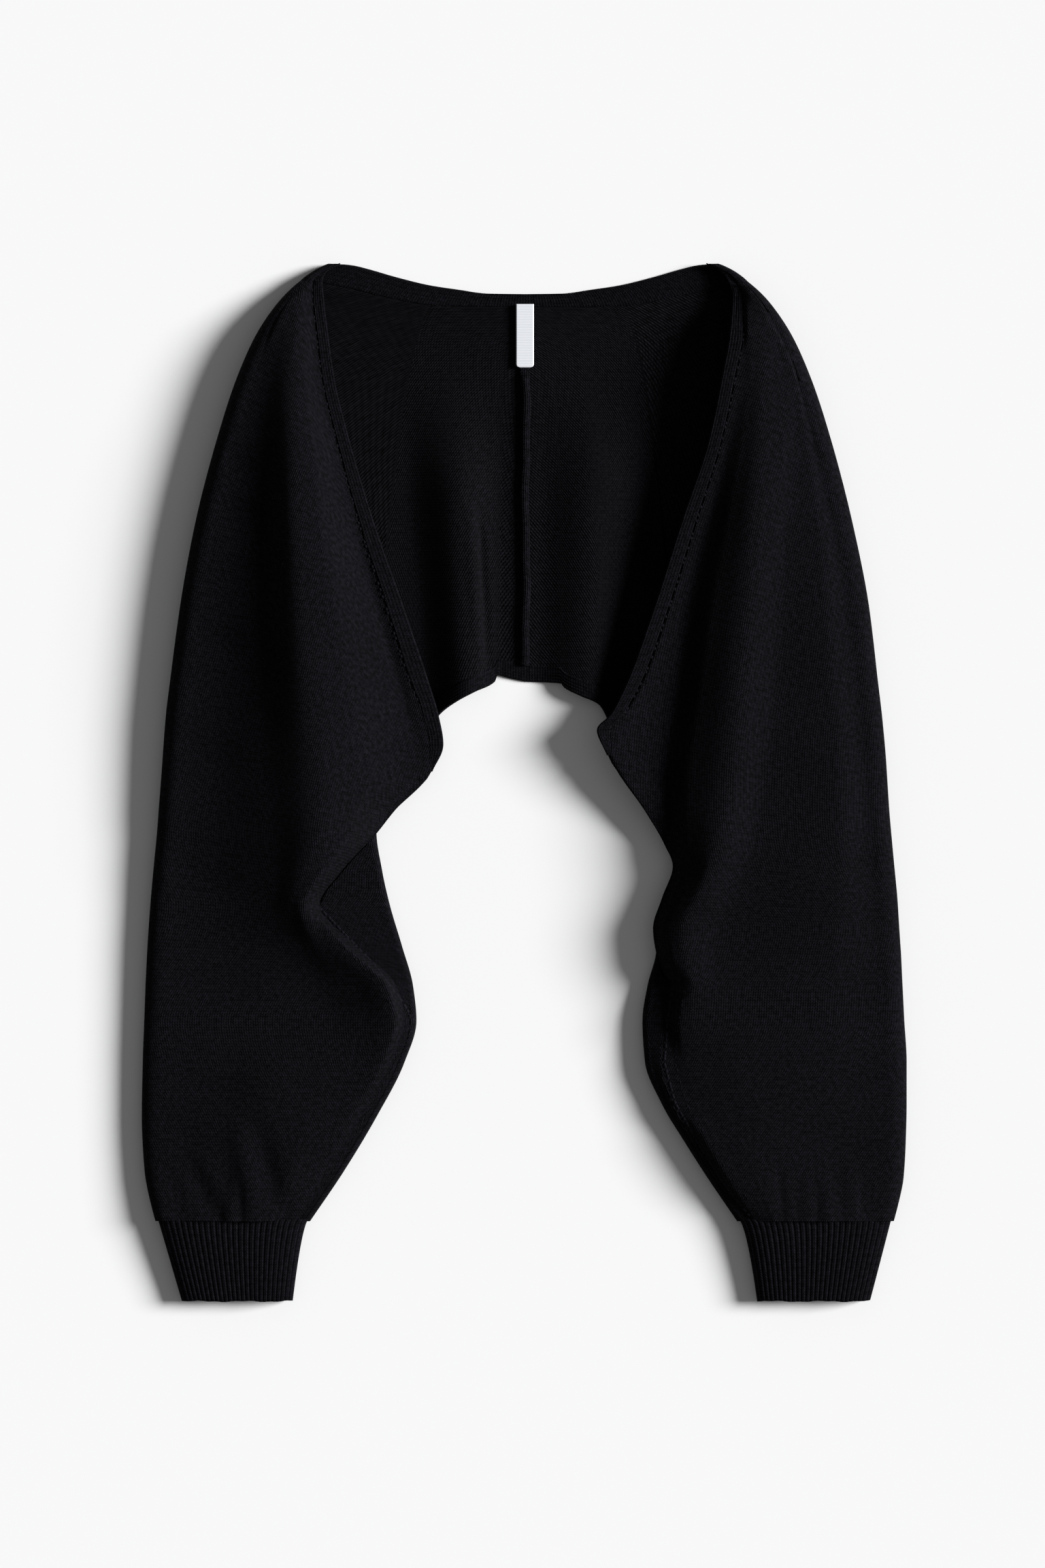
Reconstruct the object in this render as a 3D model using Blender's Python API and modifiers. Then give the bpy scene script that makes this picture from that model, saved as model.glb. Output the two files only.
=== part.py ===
"""Knitted shrug laid flat on a surface: two fully fashioned halves, bands, cuffs, seam and label.

X runs across the garment, Y from the cuffs up to the neck, and Z up from the surface it lies on.
"""
from collections import namedtuple

import bpy
import numpy as np

MM = 0.001

# Driving sizes, in millimetres.
CLOTH_WALL = 2.0
BAND_WALL = 2.6
PIECE_GAP = 0.3
FRONT_SEAM_GAP = 1.0
TUCK_GAP = 1.5
LEAST_STEP = 0.001
SEAM_RISE_SHARE = 0.25
ROW_STEP = 20.0
INNER_ROLL_WIDTH = 4.0
NECK_SEAM_STATION = 2
NECK_SEAM_ROW_GAP = 0.07
HEM_SEAM_ROW_GAP = 0.035
CUFF_TOP_Y = -322.1
CUFF_END_Y = -380.5
CUFF_WALL = 2.2
CUFF_HEIGHT = 14.5
CUFF_HEIGHT_LOSS = 3.5
CUFF_TOP_INSET_INNER = 1.5
CUFF_TOP_INSET_OUTER = 2.5
CUFF_NARROWING = {-1: (12.0, 17.5), 1: (14.0, 15.5)}
CUFF_INNER_CURVE = 0.6
CUFF_SQUARENESS = 0.62
RIBS_ROUND_CUFF = 54
RIB_RELIEF = 0.9
CUFF_ROWS = 3
SEAM_WIDTH = 6.0
SEAM_WALL = 1.6
SEAM_TOP_Y = 349.0
SEAM_END_Y = 85.5
SEAM_ROWS = 14
LABEL_WIDTH = 13.0
LABEL_TOP_Y = 351.0
LABEL_END_Y = 304.5
LABEL_WALL = 0.8
LABEL_CORNER = 2.5
LABEL_CORNER_STEPS = 4

# Each station is one section across a half, o counting outwards from the centre line.
# edge: free front edge, or the underarm seam below the armpit. seam: where the front band ends.
# valley, rise, ridge, foot, crown: the run of the front layer. outer: the silhouette, the height
# of its roll and the roll's width.
Station = namedtuple(
    "Station",
    "y edge_o edge_z seam_o valley_o valley_z rise_o rise_z ridge_o ridge_z foot_o foot_z "
    "crown_o crown_z outer_o outer_z outer_roll",
)

LEFT_STATIONS = [
    Station(380.5, 135.5, 6.2, 137, 137.7, 6.4, 138.3, 6.5, 138.9, 6.5, 139.4, 6.4, 140, 6.3, 144, 6.2, 2.6),
    Station(374, 146.0, 8, 149.4, 149.9, 8.4, 150.4, 8.6, 150.8, 8.8, 151.2, 8.9, 151.6, 9.0, 156.0, 9, 3),
    Station(367, 148.5, 10, 155.4, 156.3, 11, 157.2, 11.5, 158.1, 11.8, 159, 12, 159.8, 12, 165.5, 12, 4),
    Station(355, 147.5, 11, 156, 159, 13.5, 162, 15.5, 165, 17, 168, 17.3, 170, 17, 178.2, 16.5, 6),
    Station(330, 144.5, 10.5, 153.5, 158, 16, 163, 22, 169, 25, 178, 24, 183.5, 23, 196, 21.5, 9),
    Station(295, 139.5, 10, 149, 154.5, 15, 162, 28, 170.5, 31, 187, 25.5, 195, 23.5, 211.8, 23, 11),
    Station(250, 128.5, 9, 138.5, 144, 14, 157, 33.5, 169, 37, 192, 26, 205, 23.5, 226.3, 23, 12),
    Station(190, 110.5, 8, 122, 129, 12.5, 151, 38, 167, 41, 193, 26.5, 214, 23, 241.8, 22.5, 13),
    Station(130, 89.5, 7.5, 102.5, 110.5, 10.5, 142, 40, 163, 44, 194, 28, 220, 22.5, 252.8, 21.5, 13),
    Station(75, 71, 9, 85, 94.5, 11, 135, 39.5, 159, 45, 194, 28.5, 226, 21.5, 260.2, 20.5, 13),
    Station(50, 63.5, 9.5, 75, 86.5, 11, 131, 38.5, 156.5, 45, 193, 29.5, 228, 21, 263.3, 20, 13),
    Station(28, 59.8, 9, 69.5, 82, 11, 128, 37, 154, 45, 192, 31, 229, 21, 265.1, 19.5, 13),
    Station(8, 68.3, 9, 69.8, 84.5, 13.5, 126.5, 36.5, 152.5, 45, 190, 32, 230, 20.5, 266.5, 19, 13),
    Station(-20, 95, 9.5, 95, 106.5, 18, 128, 36.5, 151.5, 45, 187, 33, 231, 20, 268.7, 18, 13),
    Station(-36, 107.8, 12, 107.8, 117, 23, 131, 36.5, 152, 44, 185, 32.5, 232, 19.5, 269.9, 17, 13),
    Station(-65, 135, 13, 135, 142.5, 30, 149.5, 38, 160, 38.5, 182, 30.5, 232, 18, 272.7, 16, 13),
    Station(-90, 151, 11.5, 151, 156.5, 30, 162.5, 36, 170, 33.5, 184, 27.5, 232, 17, 274.9, 15, 13),
    Station(-120, 124.5, 12.5, 124.5, 132, 35, 149, 32, 165, 26.5, 186, 22, 231, 16, 277, 14.5, 13),
    Station(-150, 94, 13, 94, 101.5, 33, 126, 27, 150, 21.5, 183, 18.5, 228, 15.5, 278.5, 14, 13),
    Station(-175, 88, 13.5, 88, 96, 26, 119, 22.5, 143, 19, 180, 18, 224, 15.5, 279.4, 13.8, 13),
    Station(-205, 96.5, 13.5, 96.5, 106, 19.5, 125.5, 18.5, 147, 18.5, 180, 19, 222, 15.5, 280.5, 13.5, 13),
    Station(-245, 117, 13, 117, 129, 17, 144, 18.8, 160, 20, 187, 20, 222, 16, 281.2, 13, 12),
    Station(-285, 141, 12.5, 141, 151.5, 15.5, 162, 18, 174, 20.5, 193, 19.8, 221, 15.5, 279.2, 12.8, 11),
    Station(-321.5, 165.5, 10.5, 165.5, 172, 12.5, 179, 14.5, 187, 16, 204, 17, 222, 17, 271.3, 13.5, 9),
]

RIGHT_STATIONS = [
    Station(380.5, 133, 6.2, 134.4, 135, 6.4, 135.7, 6.5, 136.3, 6.5, 137, 6.4, 137.5, 6.3, 141.6, 6.2, 2.6),
    Station(374, 144.5, 8, 147.6, 148.1, 8.4, 148.6, 8.6, 149.1, 8.8, 149.5, 8.9, 149.9, 9.0, 154.3, 9, 3),
    Station(366.2, 149.5, 10, 154.6, 155.5, 11, 156.4, 11.5, 157.3, 11.8, 158.1, 12, 158.8, 12, 164.5, 12, 4),
    Station(355, 152, 12.5, 160, 162, 15.5, 164, 16.8, 166, 17.6, 168, 17.7, 169, 17.6, 176.5, 17, 6),
    Station(330, 149.8, 23, 160, 163.5, 25.5, 167.5, 25.6, 171.5, 25.3, 178, 24.3, 182, 23.2, 194.3, 20.8, 8),
    Station(295, 143.4, 27, 153.5, 158.5, 27.2, 165.5, 28.3, 172, 28.8, 193, 22.8, 197, 22, 210.2, 20.3, 10),
    Station(250, 134, 24.5, 144, 148, 24.3, 160, 28, 171, 30.5, 195, 23.5, 205, 22.5, 224.8, 19.8, 12),
    Station(190, 114, 21.5, 125, 134, 20, 150, 27.5, 167, 33, 193.5, 24.5, 213.5, 24, 240.3, 19.5, 13),
    Station(130, 94.8, 20.5, 106, 119.5, 17.5, 139, 27, 162, 33.8, 190.5, 24.5, 218, 25.5, 252.2, 19.3, 13),
    Station(75, 75, 20.5, 86, 112, 16, 131, 26, 156.5, 34.3, 186, 24.3, 221, 26, 258.8, 19.2, 13),
    Station(50, 62.5, 21.5, 72, 107.5, 15.5, 128, 26, 154.5, 34.3, 183.5, 24.3, 225, 26.3, 261.8, 19.2, 13),
    Station(38, 52.5, 22, 61.5, 104.5, 15.5, 126, 26, 153.5, 34.3, 182, 24.2, 226, 26.4, 263, 19.2, 13),
    Station(20, 60.3, 22, 61.8, 101.5, 15.3, 123.5, 26, 151.5, 34.5, 180, 24, 227, 26.5, 264.6, 19.2, 13),
    Station(5, 69.5, 20, 69.5, 100, 15.2, 121, 26, 149.5, 34.5, 177, 24, 228, 26.5, 265.6, 19.2, 13),
    Station(-20, 87.2, 16.5, 87.2, 103.5, 16, 119.5, 26, 146, 33.8, 173.5, 23.8, 229, 26.5, 267.2, 19.2, 13),
    Station(-45, 102, 12.5, 102, 109, 16, 120, 24, 141, 32, 169.5, 23, 229, 26.3, 269.4, 19.2, 13),
    Station(-62, 108.5, 12, 108.5, 115, 18, 124.5, 25, 136, 30.3, 164, 22.5, 229, 26, 271, 19, 13),
    Station(-85, 100.5, 12.5, 100.5, 108, 19, 117, 25, 126, 28.5, 157, 21.8, 228, 25.5, 273.2, 18.8, 13),
    Station(-107, 94, 12.5, 94, 101, 19.5, 107, 23.5, 116, 26.5, 146, 20.5, 225.5, 25, 274.6, 18.5, 13),
    Station(-128, 97, 13.5, 97, 103, 19, 109.5, 23.3, 118.5, 25.3, 141, 20.8, 223, 24.3, 276, 18.3, 13),
    Station(-139, 101.2, 12.2, 101.2, 107, 17.5, 113.5, 22.3, 120, 24.3, 141, 21.3, 221.5, 24, 276.5, 18.2, 13),
    Station(-149, 106, 11, 106, 111.7, 16, 117.5, 21.3, 123.5, 23.3, 142, 21.8, 220, 23.5, 277, 18, 13),
    Station(-175, 101, 13, 101, 107.5, 15.5, 114, 20.5, 125, 22, 152, 22, 217, 22.5, 278.3, 18, 13),
    Station(-205, 99, 13.5, 99, 108, 14.5, 118.5, 17, 133.5, 19, 160.5, 21.3, 217, 21.5, 280, 18, 13),
    Station(-235, 107.5, 13.5, 107.5, 117.5, 15, 131, 17, 146, 19.5, 169, 22, 218.5, 20.5, 280, 18, 12),
    Station(-265, 125.5, 13, 125.5, 134.5, 18, 147.5, 19, 162, 20, 180.5, 20, 220, 19, 279.3, 17.5, 12),
    Station(-290, 141.5, 12.3, 141.5, 149.5, 17.5, 160, 18.8, 172.5, 19.5, 188, 19, 220, 18, 277.8, 16.5, 11),
    Station(-321.5, 163.5, 10.5, 163.5, 170, 12.5, 177, 14.5, 186, 16.5, 200, 17, 222, 17, 270.8, 13.5, 9),
]

# The back neck edge and the hem, outwards from the centre line: (o, y).
NECK_EDGE = [(0, 358.6), (27, 359), (50, 362), (70, 365), (95, 371), (116, 377), (128, 379.8), (136, 380.5)]
LEFT_HEM = [
    (0, 74), (12, 76.5), (20.3, 78.5), (21.7, 74), (37, 66), (50, 59),
    (63, 49), (76, 24), (104, -22), (114, -36),
]
RIGHT_HEM = [
    (0, 74), (26.5, 72.4), (28.5, 69.5), (40, 63.5), (54, 57), (62, 43), (70, 24), (93, -16), (117, -62),
]

# Where the back layer turns up at the underarm: y, its silhouette outwards and the height it reaches.
LEFT_TURN = [
    (-321.5, 157.5, 10), (-285, 132.8, 11.5), (-245, 108.8, 12), (-205, 88.3, 12), (-175, 79.6, 12),
    (-150, 82, 11.5), (-120, 90.3, 10.5), (-90, 99.2, 9.5), (-65, 104.8, 8.5), (-36, 109, 8),
]
RIGHT_TURN = [
    (-321.5, 155.5, 10), (-290, 134, 11), (-265, 118, 11.5), (-235, 100, 11.5), (-205, 88, 11),
    (-175, 86.2, 10.5), (-149, 90, 9.5), (-128, 95.8, 9), (-107, 98.5, 8.5), (-85, 105, 8), (-62, 112, 8),
]

Half = namedtuple("Half", "side stations turn hem_edge hem_station armpit_station band_end_station")
LEFT = Half(-1, LEFT_STATIONS, LEFT_TURN, LEFT_HEM, 14, 16, 12)
RIGHT = Half(1, RIGHT_STATIONS, RIGHT_TURN, RIGHT_HEM, 16, 21, 12)

# Soft folds of the back panel: crest line, height, how far down the fold grows to it, and how far
# each flank reaches, at the top and at the hem.
BackFold = namedtuple(
    "BackFold", "top_x top_y hem_x height rise left_reach right_reach hem_left_reach hem_right_reach"
)
BACK_FOLDS = [
    BackFold(-54, 312, -43, 11.5, 105, 42, 38, 30, 26),
    BackFold(54, 315, 45, 8.5, 120, 42, 60, 38, 30),
]
HEM_LEVEL_Y = 76.0

# Columns of a half, in guides: 0 edge, 1 seam, 2 valley, 3 rise, 4 ridge, 5 foot, 6 crown,
# 7 top and 8 foot of the outer roll, 9 underarm, then 10 the centre back, or 10 the top of the
# inner roll and 11 the underarm seam.
FRONT_COLUMNS = [1, 1.5, 2, 2.5, 3, 3.5, 4, 4.35, 4.7, 5, 5.5, 6, 7]
ROLL_COLUMNS = [7.25, 7.5, 7.75, 8, 8.25, 8.5, 8.75]
PANEL_COLUMNS = FRONT_COLUMNS + ROLL_COLUMNS + [9]
BACK_COLUMNS = [9.14, 9.28, 9.42, 9.54, 9.64, 9.73, 9.81, 9.88, 9.94, 10]
UNDERARM_COLUMNS = [9.25, 9.5, 9.75, 10, 10.5]
NECK_BAND_COLUMNS = [1, 7] + ROLL_COLUMNS + [9] + BACK_COLUMNS
HEM_BAND_COLUMNS = [9.03] + BACK_COLUMNS


def slopes(knots, values):
    """Slopes at the knots of a smooth curve that never overshoots them."""
    step = np.diff(knots, axis=-1)
    rise = np.diff(values, axis=-1) / step
    inner = np.zeros_like(values)
    before, after = rise[..., :-1], rise[..., 1:]
    same_way = before * after > 0
    total = np.where(same_way, before + after, 1.0)
    inner[..., 1:-1] = np.where(same_way, 2 * before * after / total, 0.0)
    inner[..., 0] = rise[..., 0]
    return inner


def hermite(start, end, start_slope, end_slope, step, part):
    rest = 1 - part
    return (
        start * rest * rest * (1 + 2 * part)
        + end * part * part * (3 - 2 * part)
        + step * start_slope * part * rest * rest
        - step * end_slope * part * part * rest
    )


def smooth(knots, values, at):
    """The smooth curve through (knots, values), read at the given places."""
    knots = np.asarray(knots, float)
    values = np.asarray(values, float)
    slope = slopes(knots, values)
    at = np.asarray(at, float)
    index = np.clip(np.searchsorted(knots, at, side="right") - 1, 0, len(knots) - 2)
    step = knots[index + 1] - knots[index]
    part = np.clip((at - knots[index]) / step, 0, 1)
    return hermite(values[index], values[index + 1], slope[index], slope[index + 1], step, part)


def back_fold_height(x, y):
    """Height of the back panel's soft folds above the flat cloth."""
    height = np.zeros_like(x)
    for fold in BACK_FOLDS:
        down = np.clip((fold.top_y - y) / (fold.top_y - HEM_LEVEL_Y), 0, 1)
        grown = np.clip((fold.top_y - y) / fold.rise, 0, 1)
        crest = fold.top_x + (fold.hem_x - fold.top_x) * down
        left = fold.left_reach + (fold.hem_left_reach - fold.left_reach) * down
        right = fold.right_reach + (fold.hem_right_reach - fold.right_reach) * down
        flank = np.clip(1 - np.abs(x - crest) / np.where(x < crest, left, right), 0, 1)
        height += fold.height * grown * grown * (3 - 2 * grown) * flank * flank * (3 - 2 * flank)
    return height


class Sections:
    """The middle of one half's cloth, worked out at (row, column) from its stations."""

    def __init__(self, half, rows):
        self.half = half
        self.rows = np.asarray(rows, float)
        index = np.arange(len(half.stations))
        for name in Station._fields:
            values = [getattr(station, name) for station in half.stations]
            setattr(self, name, smooth(index, values, self.rows))
        self.outer_o = self.outer_o - CLOTH_WALL / 2
        self.roll_o = self.outer_o - self.outer_roll
        turn_y, turn_o, turn_z = np.array(half.turn, float).T
        self.inner_o = smooth(turn_y, turn_o, self.y) + CLOTH_WALL / 2
        self.inner_z = smooth(turn_y, turn_z, self.y)
        top_y = half.stations[0].y
        hem = half.stations[half.hem_station]
        self.down = (top_y - self.y) / (top_y - hem.y)
        self.hem_floor_o = hem.outer_o - CLOTH_WALL / 2 - hem.outer_roll
        self.hem_turn_o = turn_o[-1] + CLOTH_WALL / 2 + INNER_ROLL_WIDTH
        self.turn_share = (self.hem_floor_o - self.hem_turn_o) / self.hem_floor_o

    def front(self, column):
        places = [self.edge_o, self.seam_o + LEAST_STEP, self.valley_o, self.rise_o, self.ridge_o]
        guides_o = np.stack(places + [self.foot_o, self.crown_o, self.roll_o], axis=-1)
        banded = self.seam_o - self.edge_o > LEAST_STEP
        seam_z = self.edge_z + np.where(banded, (self.valley_z - self.edge_z) * SEAM_RISE_SHARE, 0)
        heights = [self.edge_z, seam_z, self.valley_z, self.rise_z, self.ridge_z]
        guides_z = np.stack(heights + [self.foot_z, self.crown_z, self.outer_z], axis=-1)
        slope = slopes(guides_o, guides_z)
        first = min(int(column), 6)
        part = column - first
        step = guides_o[:, first + 1] - guides_o[:, first]
        o = guides_o[:, first] + step * part
        ends = guides_z[:, first], guides_z[:, first + 1]
        z = hermite(*ends, slope[:, first], slope[:, first + 1], step, part)
        return o, self.y, z

    def outer_turn(self, column):
        angle = np.pi * (0.5 - (column - 7))
        middle = (self.outer_z + CLOTH_WALL / 2) / 2
        o = self.roll_o + self.outer_roll * np.cos(angle)
        z = middle + (middle - CLOTH_WALL / 2) * np.sin(angle)
        return o, self.y, z

    def back(self, column):
        """The back layer above the hem: from the outer roll to the centre back."""
        if column <= 9:
            share = (column - 8) * self.turn_share
        else:
            share = self.turn_share + (column - 9) * (1 - self.turn_share)
        neck = np.array(NECK_EDGE, float)
        hem = np.array(self.half.hem_edge, float)
        top_o = self.half.stations[0].outer_o - self.half.stations[0].outer_roll
        neck_y = smooth(neck[:, 0], neck[:, 1], [top_o * (1 - share)])[0]
        hem_y = smooth(hem[:, 0], hem[:, 1], [self.hem_floor_o * (1 - share)])[0]
        o = self.roll_o * (1 - share) + PIECE_GAP / 2 * share
        y = neck_y + (hem_y - neck_y) * self.down
        z = CLOTH_WALL / 2 + back_fold_height(self.half.side * o, y)
        return o, y, z

    def underarm(self, column):
        """The back layer below the hem: along the surface, up round the inner roll, to the seam."""
        turn_o = self.inner_o + INNER_ROLL_WIDTH
        floor_z = CLOTH_WALL / 2
        if column <= 9:
            o = self.roll_o + (turn_o - self.roll_o) * (column - 8)
            return o, self.y, np.full_like(o, floor_z)
        if column <= 10:
            angle = np.pi * (column - 9.5)
            middle = (self.inner_z + floor_z) / 2
            o = turn_o - INNER_ROLL_WIDTH * np.cos(angle)
            return o, self.y, middle + (middle - floor_z) * np.sin(angle)
        part = column - 10
        o = turn_o + (self.seam_end_o() - turn_o) * part
        z = self.inner_z + (self.seam_end_z() - self.inner_z) * part
        return o, self.y, z

    def seam_end_o(self):
        above = self.rows < self.half.armpit_station - LEAST_STEP
        tucked = np.maximum(self.edge_o - TUCK_GAP, self.inner_o + INNER_ROLL_WIDTH + 1)
        return np.where(above, tucked, self.edge_o)

    def seam_end_z(self):
        above = self.rows < self.half.armpit_station - LEAST_STEP
        return np.where(above, self.inner_z, self.edge_z)

    def column(self, column, below_hem=False):
        """Points of one column as (x, y, z) in millimetres."""
        if column <= 7:
            o, y, z = self.front(column)
        elif column <= 8:
            o, y, z = self.outer_turn(column)
        elif below_hem:
            o, y, z = self.underarm(column)
        else:
            o, y, z = self.back(column)
        return np.stack([self.half.side * o, y, z], axis=-1)


def rows_between(half, first, last):
    """Row places from one station to another, about ROW_STEP apart along the garment."""
    rows = [float(first)]
    for station in range(first, last):
        reach = abs(half.stations[station + 1].y - half.stations[station].y)
        count = max(1, round(reach / ROW_STEP))
        rows += [station + (step + 1) / count for step in range(count)]
    return rows


def material(name, color, roughness):
    found = bpy.data.materials.new(name)
    found.use_nodes = True
    surface = found.node_tree.nodes["Principled BSDF"]
    surface.inputs["Base Color"].default_value = (*color, 1.0)
    surface.inputs["Roughness"].default_value = roughness
    surface.inputs["Metallic"].default_value = 0.0
    return found


def wall(name, points, faces, thickness, surface, collection):
    """A cloth wall: the open middle surface, thickened evenly to both sides."""
    mesh = bpy.data.meshes.new(name)
    mesh.from_pydata([tuple(MM * np.asarray(point)) for point in points], [], faces)
    mesh.validate()
    mesh.materials.append(surface)
    found = bpy.data.objects.new(name, mesh)
    collection.objects.link(found)
    solidify = found.modifiers.new("cloth thickness", "SOLIDIFY")
    solidify.thickness = thickness * MM
    solidify.offset = 0.0
    solidify.use_even_offset = True
    solidify.use_quality_normals = True
    mesh.shade_smooth()
    return found


def grid_faces(numbers, flip):
    """Quads of a grid of point numbers, wound so that they face up on the upper layer."""
    faces = []
    for above, below in zip(numbers[:-1], numbers[1:]):
        for left in range(len(above) - 1):
            quad = [above[left], above[left + 1], below[left + 1], below[left]]
            if len(set(quad)) < 4:
                continue
            faces.append(quad[::-1] if flip else quad)
    return faces


def half_panel(half, name, surface, collection):
    """One half: back, front flap and sleeve, with the underarm seam closed below the armpit."""
    hem_seam = half.hem_station - 1
    last = len(half.stations) - 1
    top_rows = rows_between(half, NECK_SEAM_STATION, hem_seam)
    middle_rows = rows_between(half, hem_seam, half.hem_station)[1:]
    low_rows = rows_between(half, half.hem_station, last)[1:]
    rows = top_rows + middle_rows + low_rows
    sections = Sections(half, rows)
    banded = sections.rows <= half.band_end_station
    sections.seam_o = sections.seam_o + np.where(banded, FRONT_SEAM_GAP / 2, 0)
    hem_row = len(top_rows) + len(middle_rows) - 1
    points = []
    numbers = np.full((len(rows), len(PANEL_COLUMNS) + len(BACK_COLUMNS)), -1)
    under = np.full((len(rows), len(UNDERARM_COLUMNS) + 1), -1)

    def add(point):
        points.append(point)
        return len(points) - 1

    for place, column in enumerate(PANEL_COLUMNS):
        above = sections.column(column)
        below = sections.column(column, below_hem=True)
        for row in range(len(rows)):
            numbers[row, place] = add(above[row] if row <= hem_row else below[row])
    for place, column in enumerate(BACK_COLUMNS):
        column_points = sections.column(column)
        for row in range(len(top_rows)):
            numbers[row, len(PANEL_COLUMNS) + place] = add(column_points[row])
    for place, column in enumerate(UNDERARM_COLUMNS + [11]):
        column_points = sections.column(column, below_hem=True)
        for row in range(hem_row, len(rows)):
            if column == 11 and rows[row] >= half.armpit_station - LEAST_STEP:
                under[row, place] = numbers[row, 0]
            else:
                under[row, place] = add(column_points[row])
    flip = half.side > 0
    last_panel = len(PANEL_COLUMNS)
    back_top = numbers[: len(top_rows)]
    faces = grid_faces(back_top, flip)
    faces += grid_faces(numbers[len(top_rows) - 1 :, :last_panel], flip)
    low = np.concatenate([numbers[hem_row:, last_panel - 1 : last_panel], under[hem_row:]], axis=1)
    faces += grid_faces(low, flip)
    return wall(name, points, faces, CLOTH_WALL, surface, collection)


def front_band(half, name, surface, collection):
    """The band along a front edge, from the shoulder to the lower corner."""
    rows = rows_between(half, 0, half.band_end_station)
    sections = Sections(half, rows)
    sections.seam_o = sections.seam_o - FRONT_SEAM_GAP / 2
    columns = [sections.column(column) for column in (0, 0.5, 1)]
    points = [point for row in range(len(rows)) for point in (column[row] for column in columns)]
    numbers = np.arange(len(points)).reshape(len(rows), len(columns))
    return wall(name, points, grid_faces(numbers, half.side > 0), BAND_WALL, surface, collection)


def back_band(name, at_hem, columns, surface, collection):
    """A band right across the back, joined at the centre: the hem band or the neck band."""
    halves = []
    for half in (LEFT, RIGHT):
        if at_hem:
            end = half.hem_station
            rows = [end - 1 + HEM_SEAM_ROW_GAP, end - 0.5, end]
        else:
            rows = [0, NECK_SEAM_STATION / 2, NECK_SEAM_STATION - NECK_SEAM_ROW_GAP]
        sections = Sections(half, rows)
        sections.seam_o = sections.seam_o + FRONT_SEAM_GAP / 2
        halves.append([sections.column(column) for column in columns])
    line = halves[0] + halves[1][::-1][1:]
    centre = len(columns) - 1
    line[centre] = line[centre] * np.array([0.0, 1.0, 1.0])
    lift = np.array([0, 0, (BAND_WALL - CLOTH_WALL) / 2])
    points = [column[row] + lift for row in range(len(rows)) for column in line]
    numbers = np.arange(len(points)).reshape(len(rows), len(line))
    return wall(name, points, grid_faces(numbers, False), BAND_WALL, surface, collection)


def rib_places(half_width, half_height, count):
    """Evenly spaced places round a flat oval: how far across and how far up, each from -1 to 1."""
    angle = np.linspace(0, 2 * np.pi, 40 * count + 1)
    across = np.copysign(np.abs(np.cos(angle)) ** CUFF_SQUARENESS, np.cos(angle))
    up = np.copysign(np.abs(np.sin(angle)) ** CUFF_SQUARENESS, np.sin(angle))
    steps = np.hypot(np.diff(across) * half_width, np.diff(up) * half_height)
    run = np.concatenate([[0], np.cumsum(steps)])
    at = np.linspace(0, run[-1], count, endpoint=False)
    return np.interp(at, run, across), np.interp(at, run, up)


def cuff_ring(half, part, reliefs):
    """Points round a cuff, part of the way down it: a flat oval, with a relief for every other point."""
    inner_loss, outer_loss = CUFF_NARROWING[half.side]
    inner = half.turn[0][1] + CUFF_TOP_INSET_INNER + inner_loss * part**CUFF_INNER_CURVE
    outer = half.stations[-1].outer_o - CUFF_TOP_INSET_OUTER - outer_loss * part
    half_height = (CUFF_HEIGHT - CUFF_HEIGHT_LOSS * part) / 2
    y = CUFF_TOP_Y + (CUFF_END_Y - CUFF_TOP_Y) * part
    count = 2 * RIBS_ROUND_CUFF
    across, up = rib_places((outer - inner) / 2, half_height, count)
    points = []
    for number in range(count):
        relief = reliefs[number % 2]
        o = (inner + outer) / 2 + across[number] * ((outer - inner) / 2 + relief)
        z = half_height + RIB_RELIEF + up[number] * (half_height + relief)
        points.append(np.array([half.side * o, y, z]))
    return points


def cuff(half, name, surface, collection):
    """A rib tube: ribs stand out of the outer face, and the inside is plain."""
    count = 2 * RIBS_ROUND_CUFF
    points = []
    rings = []
    for reliefs in ((RIB_RELIEF, 0.0), (-CUFF_WALL, -CUFF_WALL)):
        for row in range(CUFF_ROWS + 1):
            rings.append(list(range(len(points), len(points) + count)))
            points += cuff_ring(half, row / CUFF_ROWS, reliefs)
    outer_rings = rings[: CUFF_ROWS + 1]
    inner_rings = rings[CUFF_ROWS + 1 :]
    loop = outer_rings + inner_rings[::-1] + [outer_rings[0]]
    faces = []
    for ring, following in zip(loop[:-1], loop[1:]):
        for number in range(count):
            after = (number + 1) % count
            quad = [ring[number], following[number], following[after], ring[after]]
            faces.append(quad[::-1] if half.side > 0 else quad)
    mesh = bpy.data.meshes.new(name)
    mesh.from_pydata([tuple(MM * point) for point in points], [], faces)
    mesh.materials.append(surface)
    mesh.shade_smooth()
    found = bpy.data.objects.new(name, mesh)
    collection.objects.link(found)
    return found


def centre_back_seam(surface, collection):
    """The joined edges of the halves, as a raised strip on the inside of the back."""
    points = []
    middle_z = CLOTH_WALL + PIECE_GAP + SEAM_WALL / 2
    for y in np.linspace(SEAM_TOP_Y, SEAM_END_Y, SEAM_ROWS + 1):
        for x in (-SEAM_WIDTH / 2, 0.0, SEAM_WIDTH / 2):
            points.append(np.array([x, y, middle_z]))
    numbers = np.arange(len(points)).reshape(SEAM_ROWS + 1, 3)
    return wall("centre_back_seam", points, grid_faces(numbers, False), SEAM_WALL, surface, collection)


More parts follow.
